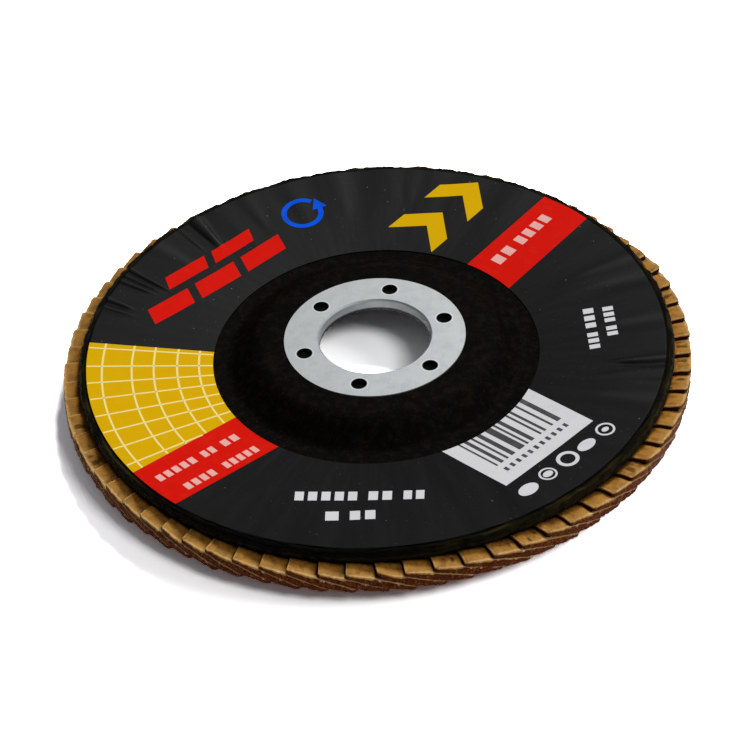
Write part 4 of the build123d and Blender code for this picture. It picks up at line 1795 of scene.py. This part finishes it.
@dataclass
class Studio:
    """A plain pale floor, soft lamps and the camera.

    Attributes:
        floor_height: Height of the floor, under the flaps' free edges.
        floor_half: Half the floor's width, in metres.
        floor_tones: Colours of its faint clouds.
        floor_lift: Light that it sends back besides, where it is seen.
        room: Colour of the even light.
        room_strength: Its strength.
        target: Point that the camera looks at.
        distance: From the camera to that point.
        elevation: How far the camera looks down.
        roll: How far the camera leans to its right.
        lens: Focal length of the camera.
        sensor: Width of its sensor.
        lamps: The lamps.
    """

    floor_height: float = -9.12
    floor_half: float = 0.7
    floor_tones: tuple[Colour, Colour] = ((0.86, 0.86, 0.87, 1.0), (0.9, 0.9, 0.9, 1.0))
    floor_lift: Colour = (2.9, 2.9, 2.9, 1.0)
    room: Colour = (0.93, 0.95, 1.0, 1.0)
    room_strength: float = 0.10
    target: tuple[float, float, float] = (-0.566, -11.649, 2.4)
    distance: float = 450.0
    elevation: float = 41.08
    roll: float = 4.54
    lens: float = 111.29
    sensor: float = 36.0
    lamps: tuple[Lamp, ...] = (
        Lamp("key", (0.42, 0.78, 1.1), 0.42, 15.0),
        Lamp("front", (0.6, -0.65, 1.15), 0.5, 3.8),
        Lamp("fill", (1.1, -0.15, 0.75), 0.6, 4.5),
    )

    def floor(self) -> None:
        """Lays the floor: a white sheet that shows a little lighter where it is seen."""
        mesh = bpy.data.meshes.new("floor")
        half, low = self.floor_half, self.floor_height * MM
        corners = [(-half, -half, low), (half, -half, low), (half, half, low), (-half, half, low)]
        mesh.from_pydata(corners, [], [(0, 1, 2, 3)])
        dark, pale = self.floor_tones
        recipe = Recipe("pale_floor", dark, specular=0.0)
        recipe.paint(pale, recipe.noise(recipe.place(), 0.01, 2.0))
        recipe.done(0.9)
        rays = recipe.node("ShaderNodeLightPath", {}).outputs
        bounced = recipe.maths("MAXIMUM", rays["Is Glossy Ray"], rays["Is Transmission Ray"])
        seen = recipe.maths("MAXIMUM", rays["Is Camera Ray"], bounced)
        plain = recipe.shader.outputs[0]
        lift = recipe.node("ShaderNodeBsdfDiffuse", {"Color": self.floor_lift}).outputs[0]
        both = recipe.node("ShaderNodeAddShader", {0: plain, 1: lift}).outputs[0]
        choice = recipe.node("ShaderNodeMixShader", {0: seen, 1: plain, 2: both}).outputs[0]
        recipe.feed(recipe.tree.nodes["Material Output"].inputs["Surface"], choice)
        mesh.materials.append(recipe.material)
        floor = link("floor", mesh)

    def world(self) -> None:
        """Fills the room with pale even light, in front of a white backdrop."""
        world = bpy.data.worlds.new("room")
        world.use_nodes = True
        tree = world.node_tree
        room = tree.nodes["Background"]
        room.inputs["Color"].default_value = self.room
        room.inputs["Strength"].default_value = self.room_strength
        backdrop = tree.nodes.new("ShaderNodeBackground")
        backdrop.inputs["Color"].default_value = WHITE
        path = tree.nodes.new("ShaderNodeLightPath")
        choice = tree.nodes.new("ShaderNodeMixShader")
        sources = (path.outputs["Is Camera Ray"], room.outputs[0], backdrop.outputs[0])
        for source, socket in zip(sources, choice.inputs):
            tree.links.new(source, socket)
        tree.links.new(choice.outputs[0], tree.nodes["World Output"].inputs["Surface"])
        bpy.context.scene.world = world

    def camera(self) -> None:
        """Sets the camera: back along its line of sight, and leaning to its right."""
        out, rise = heading(self.elevation)
        cos, sin = heading(self.roll)
        back = Vector((0.0, -out, rise))
        level = Vector((1.0, 0.0, 0.0))
        upright = Vector((0.0, rise, out))
        right = level * cos - upright * sin
        up = level * sin + upright * cos
        data = bpy.data.cameras.new("camera")
        data.lens = self.lens
        data.sensor_width = self.sensor
        data.clip_start = 0.01
        camera = link("camera", data)
        turn = Matrix((right, up, back)).transposed().to_4x4()
        eye = (Vector(self.target) + back * self.distance) * MM
        camera.matrix_world = Matrix.Translation(eye) @ turn
        bpy.context.scene.camera = camera

    def build(self) -> None:
        """Sets up the whole studio."""
        self.floor()
        self.world()
        for lamp in self.lamps:
            lamp.hang()
        self.camera()
        bpy.context.scene.view_settings.view_transform = "Standard"


def main() -> None:
    """Builds the disc's pieces, then the studio."""
    logging.basicConfig(level=logging.INFO, format="%(name)s %(message)s")
    section = Section()
    BackingPlate(section).build(FibreFinish().make())
    label = Label(section)
    label.build(PaperFinish().make())
    Print(label).build()
    FlapRing(section).build(AbrasiveFinish().make())
    dress_node("centre_ring", ZincFinish().make(), Slot.STEEL)
    dress_node("adhesive_bead", ResinFinish().make(), Slot.RESIN)
    Studio().build()


if __name__ == "__main__":
    main()
